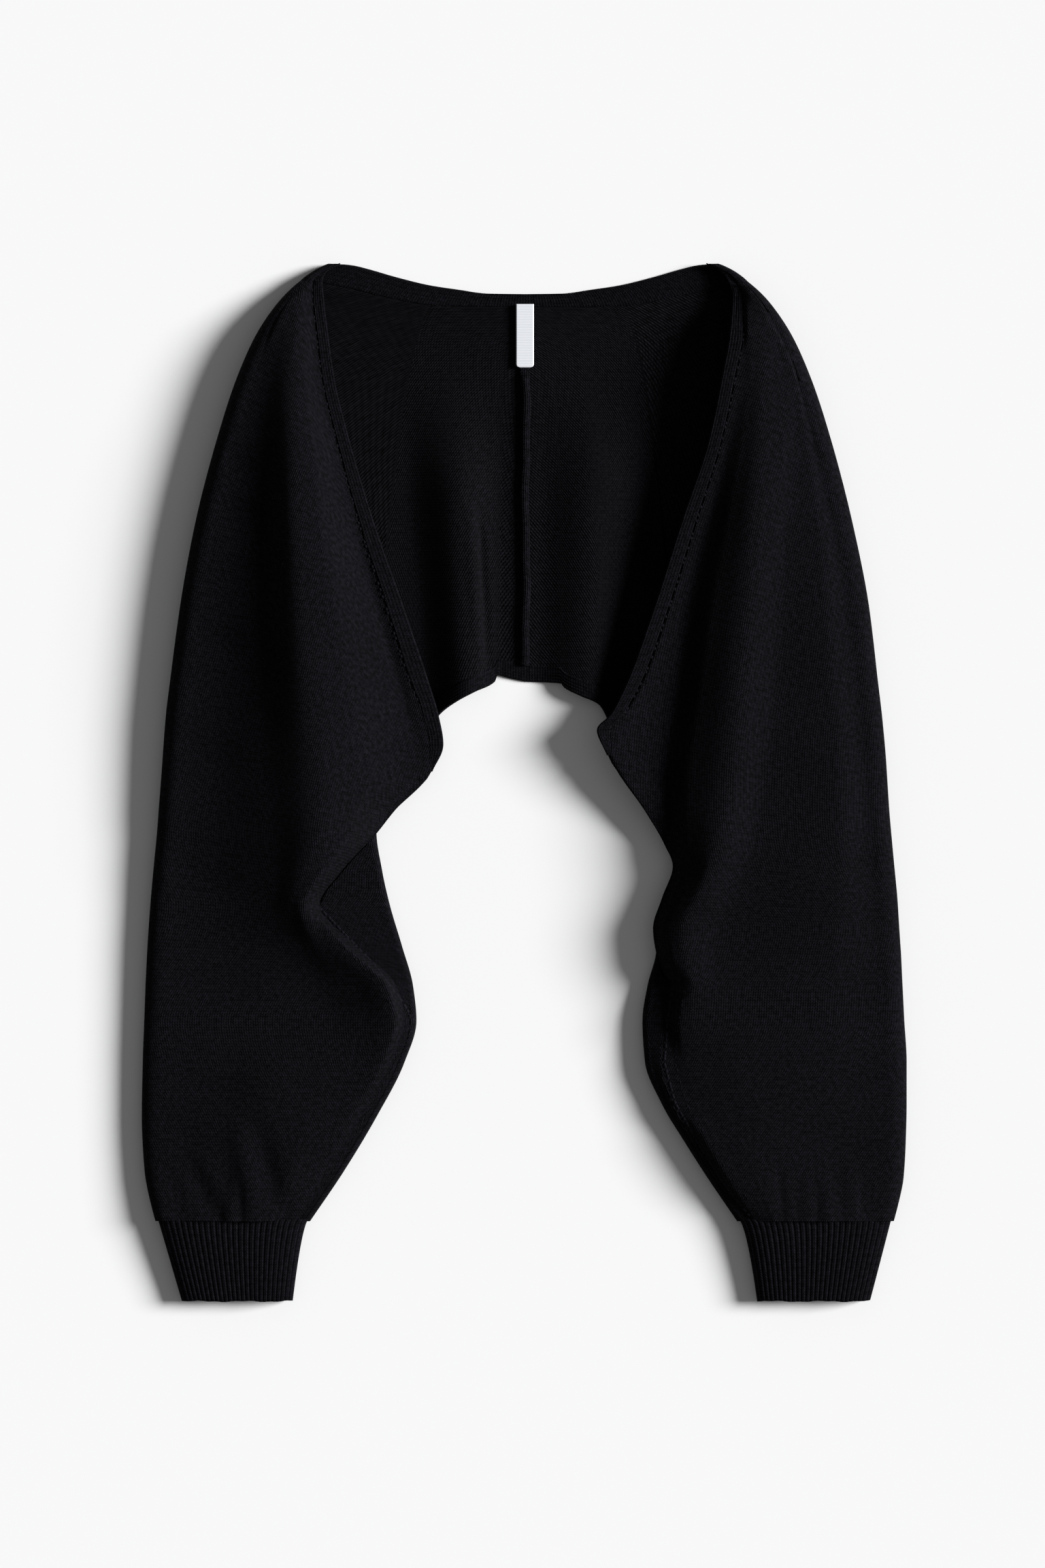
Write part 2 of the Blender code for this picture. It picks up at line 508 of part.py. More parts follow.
def label(surface, collection):
    """The satin label, with its two lower corners rounded."""
    half_width = LABEL_WIDTH / 2
    outline = [(half_width, LABEL_TOP_Y), (-half_width, LABEL_TOP_Y)]
    for side in (-1, 1):
        for step in range(LABEL_CORNER_STEPS + 1):
            angle = np.pi / 2 * step / LABEL_CORNER_STEPS
            if side > 0:
                angle = np.pi / 2 - angle
            x = side * (half_width - LABEL_CORNER + LABEL_CORNER * np.cos(angle))
            y = LABEL_END_Y + LABEL_CORNER - LABEL_CORNER * np.sin(angle)
            outline.append((x, y))
    z = CLOTH_WALL + SEAM_WALL + 2 * PIECE_GAP + LABEL_WALL / 2
    points = [np.array([x, y, z]) for x, y in outline]
    return wall("label", points, [list(range(len(points)))], LABEL_WALL, surface, collection)


def stand_on_origin(pieces):
    """Moves every piece so that the origin is the middle of the footprint, on the surface."""
    graph = bpy.context.evaluated_depsgraph_get()
    corners = []
    for piece in pieces:
        mesh = piece.evaluated_get(graph).to_mesh()
        places = np.array([vertex.co[:] for vertex in mesh.vertices])
        corners += [places.min(axis=0), places.max(axis=0)]
    low = np.min(corners, axis=0)
    high = np.max(corners, axis=0)
    shift = (-(low[0] + high[0]) / 2, -(low[1] + high[1]) / 2, -low[2])
    for piece in pieces:
        piece.location = shift


def main():
    for found in list(bpy.data.objects):
        bpy.data.objects.remove(found, do_unlink=True)
    collection = bpy.data.collections.new("knitted_shrug")
    bpy.context.scene.collection.children.link(collection)
    knit = material("black plain knit", (0.012, 0.012, 0.015), 0.9)
    rib = material("black rib knit", (0.010, 0.010, 0.013), 0.92)
    satin = material("white satin", (0.86, 0.86, 0.85), 0.45)
    half_panel(LEFT, "half_left", knit, collection)
    half_panel(RIGHT, "half_right", knit, collection)
    front_band(LEFT, "front_band_left", rib, collection)
    front_band(RIGHT, "front_band_right", rib, collection)
    back_band("neck_band", False, NECK_BAND_COLUMNS, rib, collection)
    back_band("hem_band", True, HEM_BAND_COLUMNS, rib, collection)
    cuff(LEFT, "cuff_left", rib, collection)
    cuff(RIGHT, "cuff_right", rib, collection)
    centre_back_seam(knit, collection)
    label(satin, collection)
    stand_on_origin(collection.objects)


main()
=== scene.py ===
"""Knitted shrug laid flat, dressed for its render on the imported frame.

Sizes are in millimetres unless a name says otherwise. X runs across the garment, Y from the
cuffs up to the neck, and Z up from the surface it lies on.
"""
import math
from collections import namedtuple

import bmesh
import bpy
import numpy as np
from mathutils import Matrix, Vector
from mathutils.bvhtree import BVHTree


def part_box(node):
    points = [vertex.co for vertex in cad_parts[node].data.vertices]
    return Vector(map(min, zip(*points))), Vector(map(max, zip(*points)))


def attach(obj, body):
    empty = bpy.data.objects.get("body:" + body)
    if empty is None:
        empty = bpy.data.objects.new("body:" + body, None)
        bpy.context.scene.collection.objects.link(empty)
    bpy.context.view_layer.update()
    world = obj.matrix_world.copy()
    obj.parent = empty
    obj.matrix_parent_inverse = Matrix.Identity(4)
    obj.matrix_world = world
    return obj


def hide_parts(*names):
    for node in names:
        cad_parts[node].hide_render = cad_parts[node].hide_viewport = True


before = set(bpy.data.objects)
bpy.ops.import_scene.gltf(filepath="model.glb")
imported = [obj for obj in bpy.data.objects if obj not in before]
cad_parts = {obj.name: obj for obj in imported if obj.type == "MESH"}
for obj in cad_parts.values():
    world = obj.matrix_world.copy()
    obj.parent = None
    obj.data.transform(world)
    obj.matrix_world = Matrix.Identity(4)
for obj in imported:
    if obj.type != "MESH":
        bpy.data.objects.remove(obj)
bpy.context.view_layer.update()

# Left half: back, front flap and sleeve in one piece of black cotton, knitted to shape in plain
# stitch and closed by a linked underarm seam. The knit side is outside, and the inside of the
# back shows the purl side.
MM = 0.001
CLOTH_WALL = 2.0
PIECE_GAP = 0.3
FRONT_SEAM_GAP = 0.7
FRONT_SEAM_LAP = 1.8
TUCK_GAP = 1.5
LEAST_STEP = 0.001
SEAM_RISE_SHARE = 0.25
INNER_ROLL_WIDTH = 4.0
NECK_SEAM_STATION = 2
SEAM_TOP_Y = 349.0
ROW_STEP = 2.8

# Each station is one section across a half, o counting outwards from the centre line.
# edge: free front edge, or the underarm seam below the armpit. seam: where the front band ends.
# valley, rise, ridge, foot, crown: the run of the front layer. outer: the silhouette, the height
# of its roll and the roll's width.
Station = namedtuple(
    "Station",
    "y edge_o edge_z seam_o valley_o valley_z rise_o rise_z ridge_o ridge_z foot_o foot_z "
    "crown_o crown_z outer_o outer_z outer_roll",
)
Half = namedtuple("Half", "side stations turn hem_edge hem_station armpit_station band_end_station")
# A soft trough or ridge of the cloth, along a bow from one end over its middle to the other.
Crease = namedtuple("Crease", "x y middle_x middle_y to_x to_y width height")
# How far the wales lean from the garment's length: a height on the garment, and degrees.
Lean = namedtuple("Lean", "y degrees")

LEFT_STATIONS = [
    Station(380.5, 135.5, 6.2, 137, 137.7, 6.4, 138.3, 6.5, 138.9, 6.5, 139.4, 6.4, 140, 6.3, 144, 6.2, 2.6),
    Station(374, 146.0, 8, 149.4, 149.9, 8.4, 150.4, 8.6, 150.8, 8.8, 151.2, 8.9, 151.6, 9.0, 156.0, 9, 3),
    Station(367, 148.5, 10, 155.4, 156.3, 11, 157.2, 11.5, 158.1, 11.8, 159, 12, 159.8, 12, 165.5, 12, 4),
    Station(355, 147.5, 11, 156, 159, 13.5, 162, 15.5, 165, 17, 168, 17.3, 170, 17, 178.2, 16.5, 6),
    Station(330, 144.5, 10.5, 153.5, 158, 16, 163, 22, 169, 25, 178, 24, 183.5, 23, 196, 21.5, 9),
    Station(295, 139.5, 10, 149, 154.5, 15, 162, 28, 170.5, 31, 187, 25.5, 195, 23.5, 211.8, 23, 11),
    Station(250, 128.5, 9, 138.5, 144, 14, 157, 33.5, 169, 37, 192, 26, 205, 23.5, 226.3, 23, 12),
    Station(190, 110.5, 8, 122, 129, 12.5, 151, 38, 167, 41, 193, 26.5, 214, 23, 241.8, 22.5, 13),
    Station(130, 89.5, 7.5, 102.5, 110.5, 10.5, 142, 40, 163, 44, 194, 28, 220, 22.5, 252.8, 21.5, 13),
    Station(75, 71, 9, 85, 94.5, 11, 135, 39.5, 159, 45, 194, 28.5, 226, 21.5, 260.2, 20.5, 13),
    Station(50, 63.5, 9.5, 75, 86.5, 11, 131, 38.5, 156.5, 45, 193, 29.5, 228, 21, 263.3, 20, 13),
    Station(28, 59.8, 9, 69.5, 82, 11, 128, 37, 154, 45, 192, 31, 229, 21, 265.1, 19.5, 13),
    Station(8, 68.3, 9, 69.8, 84.5, 13.5, 126.5, 36.5, 152.5, 45, 190, 32, 230, 20.5, 266.5, 19, 13),
    Station(-20, 95, 9.5, 95, 106.5, 18, 128, 36.5, 151.5, 45, 187, 33, 231, 20, 268.7, 18, 13),
    Station(-36, 107.8, 12, 107.8, 117, 23, 131, 36.5, 152, 44, 185, 32.5, 232, 19.5, 269.9, 17, 13),
    Station(-65, 135, 13, 135, 142.5, 30, 149.5, 38, 160, 38.5, 182, 30.5, 232, 18, 272.7, 16, 13),
    Station(-90, 151, 11.5, 151, 156.5, 30, 162.5, 36, 170, 33.5, 184, 27.5, 232, 17, 274.9, 15, 13),
    Station(-120, 124.5, 12.5, 124.5, 132, 35, 149, 32, 165, 26.5, 186, 22, 231, 16, 277, 14.5, 13),
    Station(-150, 94, 13, 94, 101.5, 33, 126, 27, 150, 21.5, 183, 18.5, 228, 15.5, 278.5, 14, 13),
    Station(-175, 88, 13.5, 88, 96, 26, 119, 22.5, 143, 19, 180, 18, 224, 15.5, 279.4, 13.8, 13),
    Station(-205, 96.5, 13.5, 96.5, 106, 19.5, 125.5, 18.5, 147, 18.5, 180, 19, 222, 15.5, 280.5, 13.5, 13),
    Station(-245, 117, 13, 117, 129, 17, 144, 18.8, 160, 20, 187, 20, 222, 16, 281.2, 13, 12),
    Station(-285, 141, 12.5, 141, 151.5, 15.5, 162, 18, 174, 20.5, 193, 19.8, 221, 15.5, 279.2, 12.8, 11),
    Station(-321.5, 165.5, 10.5, 165.5, 172, 12.5, 179, 14.5, 187, 16, 204, 17, 222, 17, 271.3, 13.5, 9),
]
# The back neck edge and the hem, outwards from the centre line: (o, y).
NECK_EDGE = [(0, 358.6), (27, 359), (50, 362), (70, 365), (95, 371), (116, 377), (128, 379.8), (136, 380.5)]
LEFT_HEM = [
    (0, 74), (12, 76.5), (20.3, 78.5), (21.7, 74), (37, 66), (50, 59),
    (63, 49), (76, 24), (104, -22), (114, -36),
]
# Where the back layer turns up at the underarm: y, its silhouette outwards and its height.
LEFT_TURN = [
    (-321.5, 157.5, 10), (-285, 132.8, 11.5), (-245, 108.8, 12), (-205, 88.3, 12), (-175, 79.6, 12),
    (-150, 82, 11.5), (-120, 90.3, 10.5), (-90, 99.2, 9.5), (-65, 104.8, 8.5), (-36, 109, 8),
]
LEFT = Half(-1, LEFT_STATIONS, LEFT_TURN, LEFT_HEM, 14, 16, 12)
LEFT_CREASES = [
    Crease(-252, -262, -238, -292, -220, -330, 6.0, -2.0),
    Crease(-244, -266, -230, -292, -214, -326, 6.0, 1.1),
    Crease(-208, -292, -207, -312, -208, -334, 2.6, -0.9),
    Crease(-223, -296, -223, -314, -222, -334, 2.4, -0.8),
    Crease(-215, -290, -214, -310, -215, -334, 3.2, 0.6),
    Crease(-200, -238, -189, -286, -172, -334, 9.0, -2.8),
    Crease(-212, -246, -204, -288, -196, -330, 7.0, 1.3),
    Crease(-263, -272, -257, -300, -250, -334, 5.0, -1.0),
    Crease(-130, 200, -100, 104, -76, 14, 4.5, -2.2),
    Crease(-234, 205, -214, 196, -190, 202, 9.0, -1.1),
    Crease(-229, 248, -214, 236, -196, 231, 8.0, -1.0),
    Crease(-246, 118, -226, 104, -203, 101, 10.0, -1.2),
    Crease(-258, 30, -238, 20, -208, 24, 9.0, -1.0),
    Crease(-262, -58, -240, -72, -206, -66, 11.0, -1.3),
    Crease(-266, -140, -238, -158, -196, -147, 12.0, -1.4),
    Crease(-262, -214, -236, -228, -201, -219, 10.0, -1.2),
    Crease(-258, -255, -244, -268, -216, -263, 7.0, -1.1),
]
# Hidden from above: the underside of the sleeve has fewer and shallower troughs.
LEFT_HIDDEN_CREASES = [
    Crease(-232, 190, -212, 182, -190, 188, 8.0, -0.9),
    Crease(-250, 60, -228, 48, -204, 55, 10.0, -1.1),
    Crease(-262, -70, -238, -84, -205, -76, 10.0, -1.0),
    Crease(-264, -180, -238, -193, -203, -184, 9.0, -1.2),
    Crease(-244, -285, -236, -300, -230, -319, 3.5, -1.3),
    Crease(-206, -292, -204, -306, -202, -320, 3.0, -1.0),
    Crease(-34, 208, -29.5, 150, -27, 70, 2.4, 2.8),
    Crease(-41, 208, -37.5, 150, -34, 70, 4.0, -2.0),
]
LEFT_LEANS = [
    Lean(360, 26), Lean(300, 25), Lean(240, 18), Lean(180, 11), Lean(120, 8), Lean(60, 8),
    Lean(0, 10), Lean(-60, 8), Lean(-100, 4), Lean(-140, 0), Lean(-330, 0),
]

# Soft folds of the back panel: crest line, height, how far down the fold grows to it, and how far
# each flank reaches, at the top and at the hem.
BackFold = namedtuple(
    "BackFold", "top_x top_y hem_x height rise left_reach right_reach hem_left_reach hem_right_reach"
)
BACK_FOLDS = [
    BackFold(-54, 312, -43, 11.5, 105, 42, 38, 30, 26),
    BackFold(54, 315, 45, 8.5, 120, 42, 60, 38, 30),
]
HEM_LEVEL_Y = 76.0

# Columns of a half, in guides: 0 edge, 1 seam, 2 valley, 3 rise, 4 ridge, 5 foot, 6 crown,
# 7 top and 8 foot of the outer roll, 9 underarm, then 10 the centre back, or 10 the top of the
# inner roll and 11 the underarm seam. Each span is (first, last, how many steps).
RIDGE_COLUMN = 4
FRONT_SPANS = [(1, 2, 10), (2, 3, 12), (3, 4, 12), (4, 5, 10), (5, 6, 14), (6, 7, 9), (7, 8, 14), (8, 9, 14)]
BACK_SPANS = [(9, 10, 60)]
UNDERARM_SPANS = [(9, 10, 24), (10, 11, 36)]

seam_low, seam_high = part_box("centre_back_seam")
SHIFT = np.array([(seam_low.x + seam_high.x) / 2, seam_high.y - SEAM_TOP_Y * MM, 0.0])


def slopes(knots, values):
    """Slopes at the knots of a smooth curve that never overshoots them."""
    step = np.diff(knots, axis=-1)
    rise = np.diff(values, axis=-1) / step
    inner = np.zeros_like(values)
    before, after = rise[..., :-1], rise[..., 1:]
    same_way = before * after > 0
    total = np.where(same_way, before + after, 1.0)
    inner[..., 1:-1] = np.where(same_way, 2 * before * after / total, 0.0)
    inner[..., 0] = rise[..., 0]
    return inner


def hermite(start, end, start_slope, end_slope, step, part):
    rest = 1 - part
    return (
        start * rest * rest * (1 + 2 * part)
        + end * part * part * (3 - 2 * part)
        + step * start_slope * part * rest * rest
        - step * end_slope * part * part * rest
    )


def smooth(knots, values, at):
    """The smooth curve through (knots, values), read at the given places."""
    knots = np.asarray(knots, float)
    values = np.asarray(values, float)
    slope = slopes(knots, values)
    at = np.asarray(at, float)
    index = np.clip(np.searchsorted(knots, at, side="right") - 1, 0, len(knots) - 2)
    step = knots[index + 1] - knots[index]
    part = np.clip((at - knots[index]) / step, 0, 1)
    return hermite(values[index], values[index + 1], slope[index], slope[index + 1], step, part)


def back_fold_height(x, y):
    """Height of the back panel's soft folds above the flat cloth."""
    height = np.zeros_like(x)
    for fold in BACK_FOLDS:
        down = np.clip((fold.top_y - y) / (fold.top_y - HEM_LEVEL_Y), 0, 1)
        grown = np.clip((fold.top_y - y) / fold.rise, 0, 1)
        crest = fold.top_x + (fold.hem_x - fold.top_x) * down
        left = fold.left_reach + (fold.hem_left_reach - fold.left_reach) * down
        right = fold.right_reach + (fold.hem_right_reach - fold.right_reach) * down
        flank = np.clip(1 - np.abs(x - crest) / np.where(x < crest, left, right), 0, 1)
        height += fold.height * grown * grown * (3 - 2 * grown) * flank * flank * (3 - 2 * flank)
    return height


class Sections:
    """The middle of one half's cloth, worked out at (row, column) from its stations."""

    def __init__(self, half, rows):
        self.half = half
        self.rows = np.asarray(rows, float)
        index = np.arange(len(half.stations))
        for name in Station._fields:
            values = [getattr(station, name) for station in half.stations]
            setattr(self, name, smooth(index, values, self.rows))
        self.outer_o = self.outer_o - CLOTH_WALL / 2
        self.roll_o = self.outer_o - self.outer_roll
        turn_y, turn_o, turn_z = np.array(half.turn, float).T
        self.inner_o = smooth(turn_y, turn_o, self.y) + CLOTH_WALL / 2
        self.inner_z = smooth(turn_y, turn_z, self.y)
        top_y = half.stations[0].y
        hem = half.stations[half.hem_station]
        self.down = (top_y - self.y) / (top_y - hem.y)
        self.hem_floor_o = hem.outer_o - CLOTH_WALL / 2 - hem.outer_roll
        self.hem_turn_o = turn_o[-1] + CLOTH_WALL / 2 + INNER_ROLL_WIDTH
        self.turn_share = (self.hem_floor_o - self.hem_turn_o) / self.hem_floor_o

    def front(self, column):
        places = [self.edge_o, self.seam_o + LEAST_STEP, self.valley_o, self.rise_o, self.ridge_o]
        guides_o = np.stack(places + [self.foot_o, self.crown_o, self.roll_o], axis=-1)
        banded = self.seam_o - self.edge_o > LEAST_STEP
        seam_z = self.edge_z + np.where(banded, (self.valley_z - self.edge_z) * SEAM_RISE_SHARE, 0)
        heights = [self.edge_z, seam_z, self.valley_z, self.rise_z, self.ridge_z]
        guides_z = np.stack(heights + [self.foot_z, self.crown_z, self.outer_z], axis=-1)
        slope = slopes(guides_o, guides_z)
        first = min(int(column), 6)
        part = column - first
        step = guides_o[:, first + 1] - guides_o[:, first]
        o = guides_o[:, first] + step * part
        ends = guides_z[:, first], guides_z[:, first + 1]
        z = hermite(*ends, slope[:, first], slope[:, first + 1], step, part)
        return o, self.y, z

    def outer_turn(self, column):
        angle = np.pi * (0.5 - (column - 7))
        middle = (self.outer_z + CLOTH_WALL / 2) / 2
        o = self.roll_o + self.outer_roll * np.cos(angle)
        z = middle + (middle - CLOTH_WALL / 2) * np.sin(angle)
        return o, self.y, z

    def back(self, column):
        """The back layer above the hem: from the outer roll to the centre back."""
        if column <= 9:
            share = (column - 8) * self.turn_share
        else:
            share = self.turn_share + (column - 9) * (1 - self.turn_share)
        neck = np.array(NECK_EDGE, float)
        hem = np.array(self.half.hem_edge, float)
        top_o = self.half.stations[0].outer_o - self.half.stations[0].outer_roll
        neck_y = smooth(neck[:, 0], neck[:, 1], [top_o * (1 - share)])[0]
        hem_y = smooth(hem[:, 0], hem[:, 1], [self.hem_floor_o * (1 - share)])[0]
        o = self.roll_o * (1 - share) + PIECE_GAP / 2 * share
        y = neck_y + (hem_y - neck_y) * self.down
        z = CLOTH_WALL / 2 + back_fold_height(self.half.side * o, y)
        return o, y, z

    def underarm(self, column):
        """The back layer below the hem: along the surface, up round the inner roll, to the seam."""
        turn_o = self.inner_o + INNER_ROLL_WIDTH
        floor_z = CLOTH_WALL / 2
        if column <= 9:
            o = self.roll_o + (turn_o - self.roll_o) * (column - 8)
            return o, self.y, np.full_like(o, floor_z)
        if column <= 10:
            angle = np.pi * (column - 9.5)
            middle = (self.inner_z + floor_z) / 2
            o = turn_o - INNER_ROLL_WIDTH * np.cos(angle)
            return o, self.y, middle + (middle - floor_z) * np.sin(angle)
        part = column - 10
        o = turn_o + (self.seam_end_o() - turn_o) * part
        z = self.inner_z + (self.seam_end_z() - self.inner_z) * part
        return o, self.y, z

    def seam_end_o(self):
        above = self.rows < self.half.armpit_station - LEAST_STEP
        tucked = np.maximum(self.edge_o - TUCK_GAP, self.inner_o + INNER_ROLL_WIDTH + 1)
        return np.where(above, tucked, self.edge_o)

    def seam_end_z(self):
        above = self.rows < self.half.armpit_station - LEAST_STEP
        return np.where(above, self.inner_z, self.edge_z)

    def column(self, column, below_hem=False):
        """Points of one column as (x, y, z) in millimetres."""
        if column <= 7:
            o, y, z = self.front(column)
        elif column <= 8:
            o, y, z = self.outer_turn(column)
        elif below_hem:
            o, y, z = self.underarm(column)
        else:
            o, y, z = self.back(column)
        return np.stack([self.half.side * o, y, z], axis=-1)


def rows_between(half, first, last, row_step):
    """Row places from one station to another, about row_step apart along the garment."""
    rows = [float(first)]
    for station in range(first, last):
        reach = abs(half.stations[station + 1].y - half.stations[station].y)
        count = max(1, round(reach / row_step))
        rows += [station + (step + 1) / count for step in range(count)]
    return rows


def column_places(spans):
    places = [float(spans[0][0])]
    for first, last, count in spans:
        places += list(np.linspace(first, last, count + 1)[1:])
    return places


def crease_height(creases, x, y):
    """Height of the creases at each place: troughs are negative."""
    height = np.zeros_like(x)
    for crease in creases:
        best = np.full_like(x, np.inf)
        fade = np.zeros_like(x)
        steps = np.linspace(0, 1, 15)
        bow_x = (1 - steps) ** 2 * crease.x + 2 * steps * (1 - steps) * crease.middle_x + steps**2 * crease.to_x
        bow_y = (1 - steps) ** 2 * crease.y + 2 * steps * (1 - steps) * crease.middle_y + steps**2 * crease.to_y
        for number in range(len(steps) - 1):
            run_x = bow_x[number + 1] - bow_x[number]
            run_y = bow_y[number + 1] - bow_y[number]
            part = ((x - bow_x[number]) * run_x + (y - bow_y[number]) * run_y) / (run_x**2 + run_y**2)
            part = np.clip(part, 0, 1)
            away = np.hypot(x - bow_x[number] - run_x * part, y - bow_y[number] - run_y * part)
            nearer = away < best
            best = np.where(nearer, away, best)
            fade = np.where(nearer, np.sin(np.pi * (number + part) / (len(steps) - 1)), fade)
        height += crease.height * np.exp(-((best / crease.width) ** 2)) * np.clip(fade, 0, 1) ** 0.8
    return height


def outward(points, side):
    """Unit normals of a grid of points, pointing out of the garment."""
    normal = np.cross(np.gradient(points, axis=1), np.gradient(points, axis=0)) * -side
    return normal / np.maximum(np.linalg.norm(normal, axis=-1, keepdims=True), LEAST_STEP)


def run_across(points, start):
    """Distance along each row of a grid of points, counted from its start column."""
    steps = np.linalg.norm(np.diff(points, axis=1), axis=-1)
    run = np.concatenate([np.zeros((len(points), 1)), np.cumsum(steps, axis=1)], axis=1)
    return run - run[:, start : start + 1]


def cloth(name, points, uv, left_out, side, wall, materials):
    """A sheet of cloth: a grid of points in millimetres, welded where it meets itself.

    uv holds, for each point, its place on the knitted panel: across the wales and along them.
    """
    rows, columns = points.shape[:2]
    grid = bmesh.new()
    size = Matrix.Diagonal((columns - 1, rows - 1, 1, 1))
    centre = Matrix.Translation(((columns - 1) / 2, (rows - 1) / 2, 0))
    bmesh.ops.create_grid(grid, x_segments=columns - 1, y_segments=rows - 1, size=0.5, matrix=centre @ size)
    layer = grid.loops.layers.uv.new("knit")
    places = {vert: (round(vert.co.y), round(vert.co.x)) for vert in grid.verts}
    for face in grid.faces:
        for loop in face.loops:
            loop[layer].uv = uv[places[loop.vert]]
    dropped = [
        face
        for face in grid.faces
        if left_out(min(places[vert][0] for vert in face.verts), min(places[vert][1] for vert in face.verts))
    ]
    for vert in grid.verts:
        vert.co = points[places[vert]] * MM + SHIFT
    bmesh.ops.delete(grid, geom=dropped, context="FACES")
    bmesh.ops.remove_doubles(grid, verts=grid.verts, dist=LEAST_STEP * MM)
    if side > 0:
        bmesh.ops.reverse_faces(grid, faces=grid.faces)
    mesh = bpy.data.meshes.new(name)
    grid.to_mesh(mesh)
    grid.free()
    for material in materials:
        mesh.materials.append(material)
    mesh.shade_smooth()
    piece = bpy.data.objects.new(name, mesh)
    bpy.context.scene.collection.objects.link(piece)
    solid = piece.modifiers.new("cloth wall", "SOLIDIFY")
    solid.thickness = wall * MM
    solid.offset = 0.0
    solid.use_even_offset = True
    solid.use_quality_normals = True
    solid.material_offset = len(materials) - 1
    return piece


def front_seam_gap(half, rows):
    """Width of the groove beside the front band: it closes, and the edges lap, at the corner."""
    end = half.band_end_station
    gap = np.interp(rows, [end - 2.4, end - 1.9], [FRONT_SEAM_GAP, -FRONT_SEAM_LAP])
    return np.where(rows <= end, gap, 0)


def half_points(half, creases, hidden_creases):
    """The grid of one half, and the row numbers where its back panel ends and its underarm starts."""
    last = len(half.stations) - 1
    top_rows = rows_between(half, NECK_SEAM_STATION, half.hem_station - 1, ROW_STEP)
    hem_rows = rows_between(half, half.hem_station - 1, half.hem_station, ROW_STEP)[1:]
    low_rows = rows_between(half, half.hem_station, last, ROW_STEP)[1:]
    rows = np.array(top_rows + hem_rows + low_rows)
    hem_seam_row = len(top_rows) - 1
    hem_row = hem_seam_row + len(hem_rows)
    sections = Sections(half, rows)
    sections.seam_o = sections.seam_o + front_seam_gap(half, sections.rows) / 2
    front = column_places(FRONT_SPANS)
    points = []
    below = np.arange(len(rows)) > hem_row
    for place in front:
        points.append(np.where(below[:, None], sections.column(place, below_hem=True), sections.column(place)))
    under = np.arange(len(rows)) > hem_seam_row
    for back_place, under_place in zip(column_places(BACK_SPANS)[1:], column_places(UNDERARM_SPANS)[1:]):
        low = sections.column(under_place, below_hem=True)
        points.append(np.where(under[:, None], low, sections.column(back_place)))
    points = np.stack(points, axis=1)
    top_columns = len(column_places(FRONT_SPANS[:6]))
    hidden_columns = len(column_places(FRONT_SPANS[:7]))
    height = crease_height(creases, points[..., 0], points[..., 1])
    height[:, top_columns:] = 0
    under_height = crease_height(hidden_creases, points[..., 0], points[..., 1])
    height[:, hidden_columns:] = under_height[:, hidden_columns:]
    return points + outward(points, half.side) * height[..., None], hem_seam_row, hem_row


def knit_places(half, points, leans):
    """Where each point lies on the knitted panel: across the wales, and along them."""
    front = column_places(FRONT_SPANS)
    across = run_across(points, front.index(RIDGE_COLUMN))
    along = points[..., 1]
    lean_y = [lean.y for lean in leans][::-1]
    slant = [math.tan(math.radians(lean.degrees)) for lean in leans][::-1]
    steps = np.arange(lean_y[0], lean_y[-1] + 1, 1.0)
    drift = np.cumsum(np.interp(steps, lean_y, slant))
    flap = np.arange(points.shape[1]) < len(front)
    leaning = np.interp(along, lean_y, slant)
    shifted = across - half.side * np.interp(along, steps, drift) * -1
    sheared = along - half.side * leaning * across * -1
    across = np.where(flap, shifted, across)
    along = np.where(flap, sheared, along)
    return np.stack([across, along], axis=-1) * MM


def linear(code):
    """An sRGB hex code as a linear colour."""
    channels = [int(code[start : start + 2], 16) / 255 for start in (1, 3, 5)]
    return [c / 12.92 if c <= 0.04045 else ((c + 0.055) / 1.055) ** 2.4 for c in channels] + [1.0]


def add(tree, kind, inputs, **settings):
    """A node with its settings, and its inputs set or linked."""
    node = tree.nodes.new(kind)
    for name, value in settings.items():
        setattr(node, name, value)
    for socket, value in inputs.items():
        if isinstance(value, bpy.types.NodeSocket):
            tree.links.new(value, node.inputs[socket])
        else:
            node.inputs[socket].default_value = value
    return node


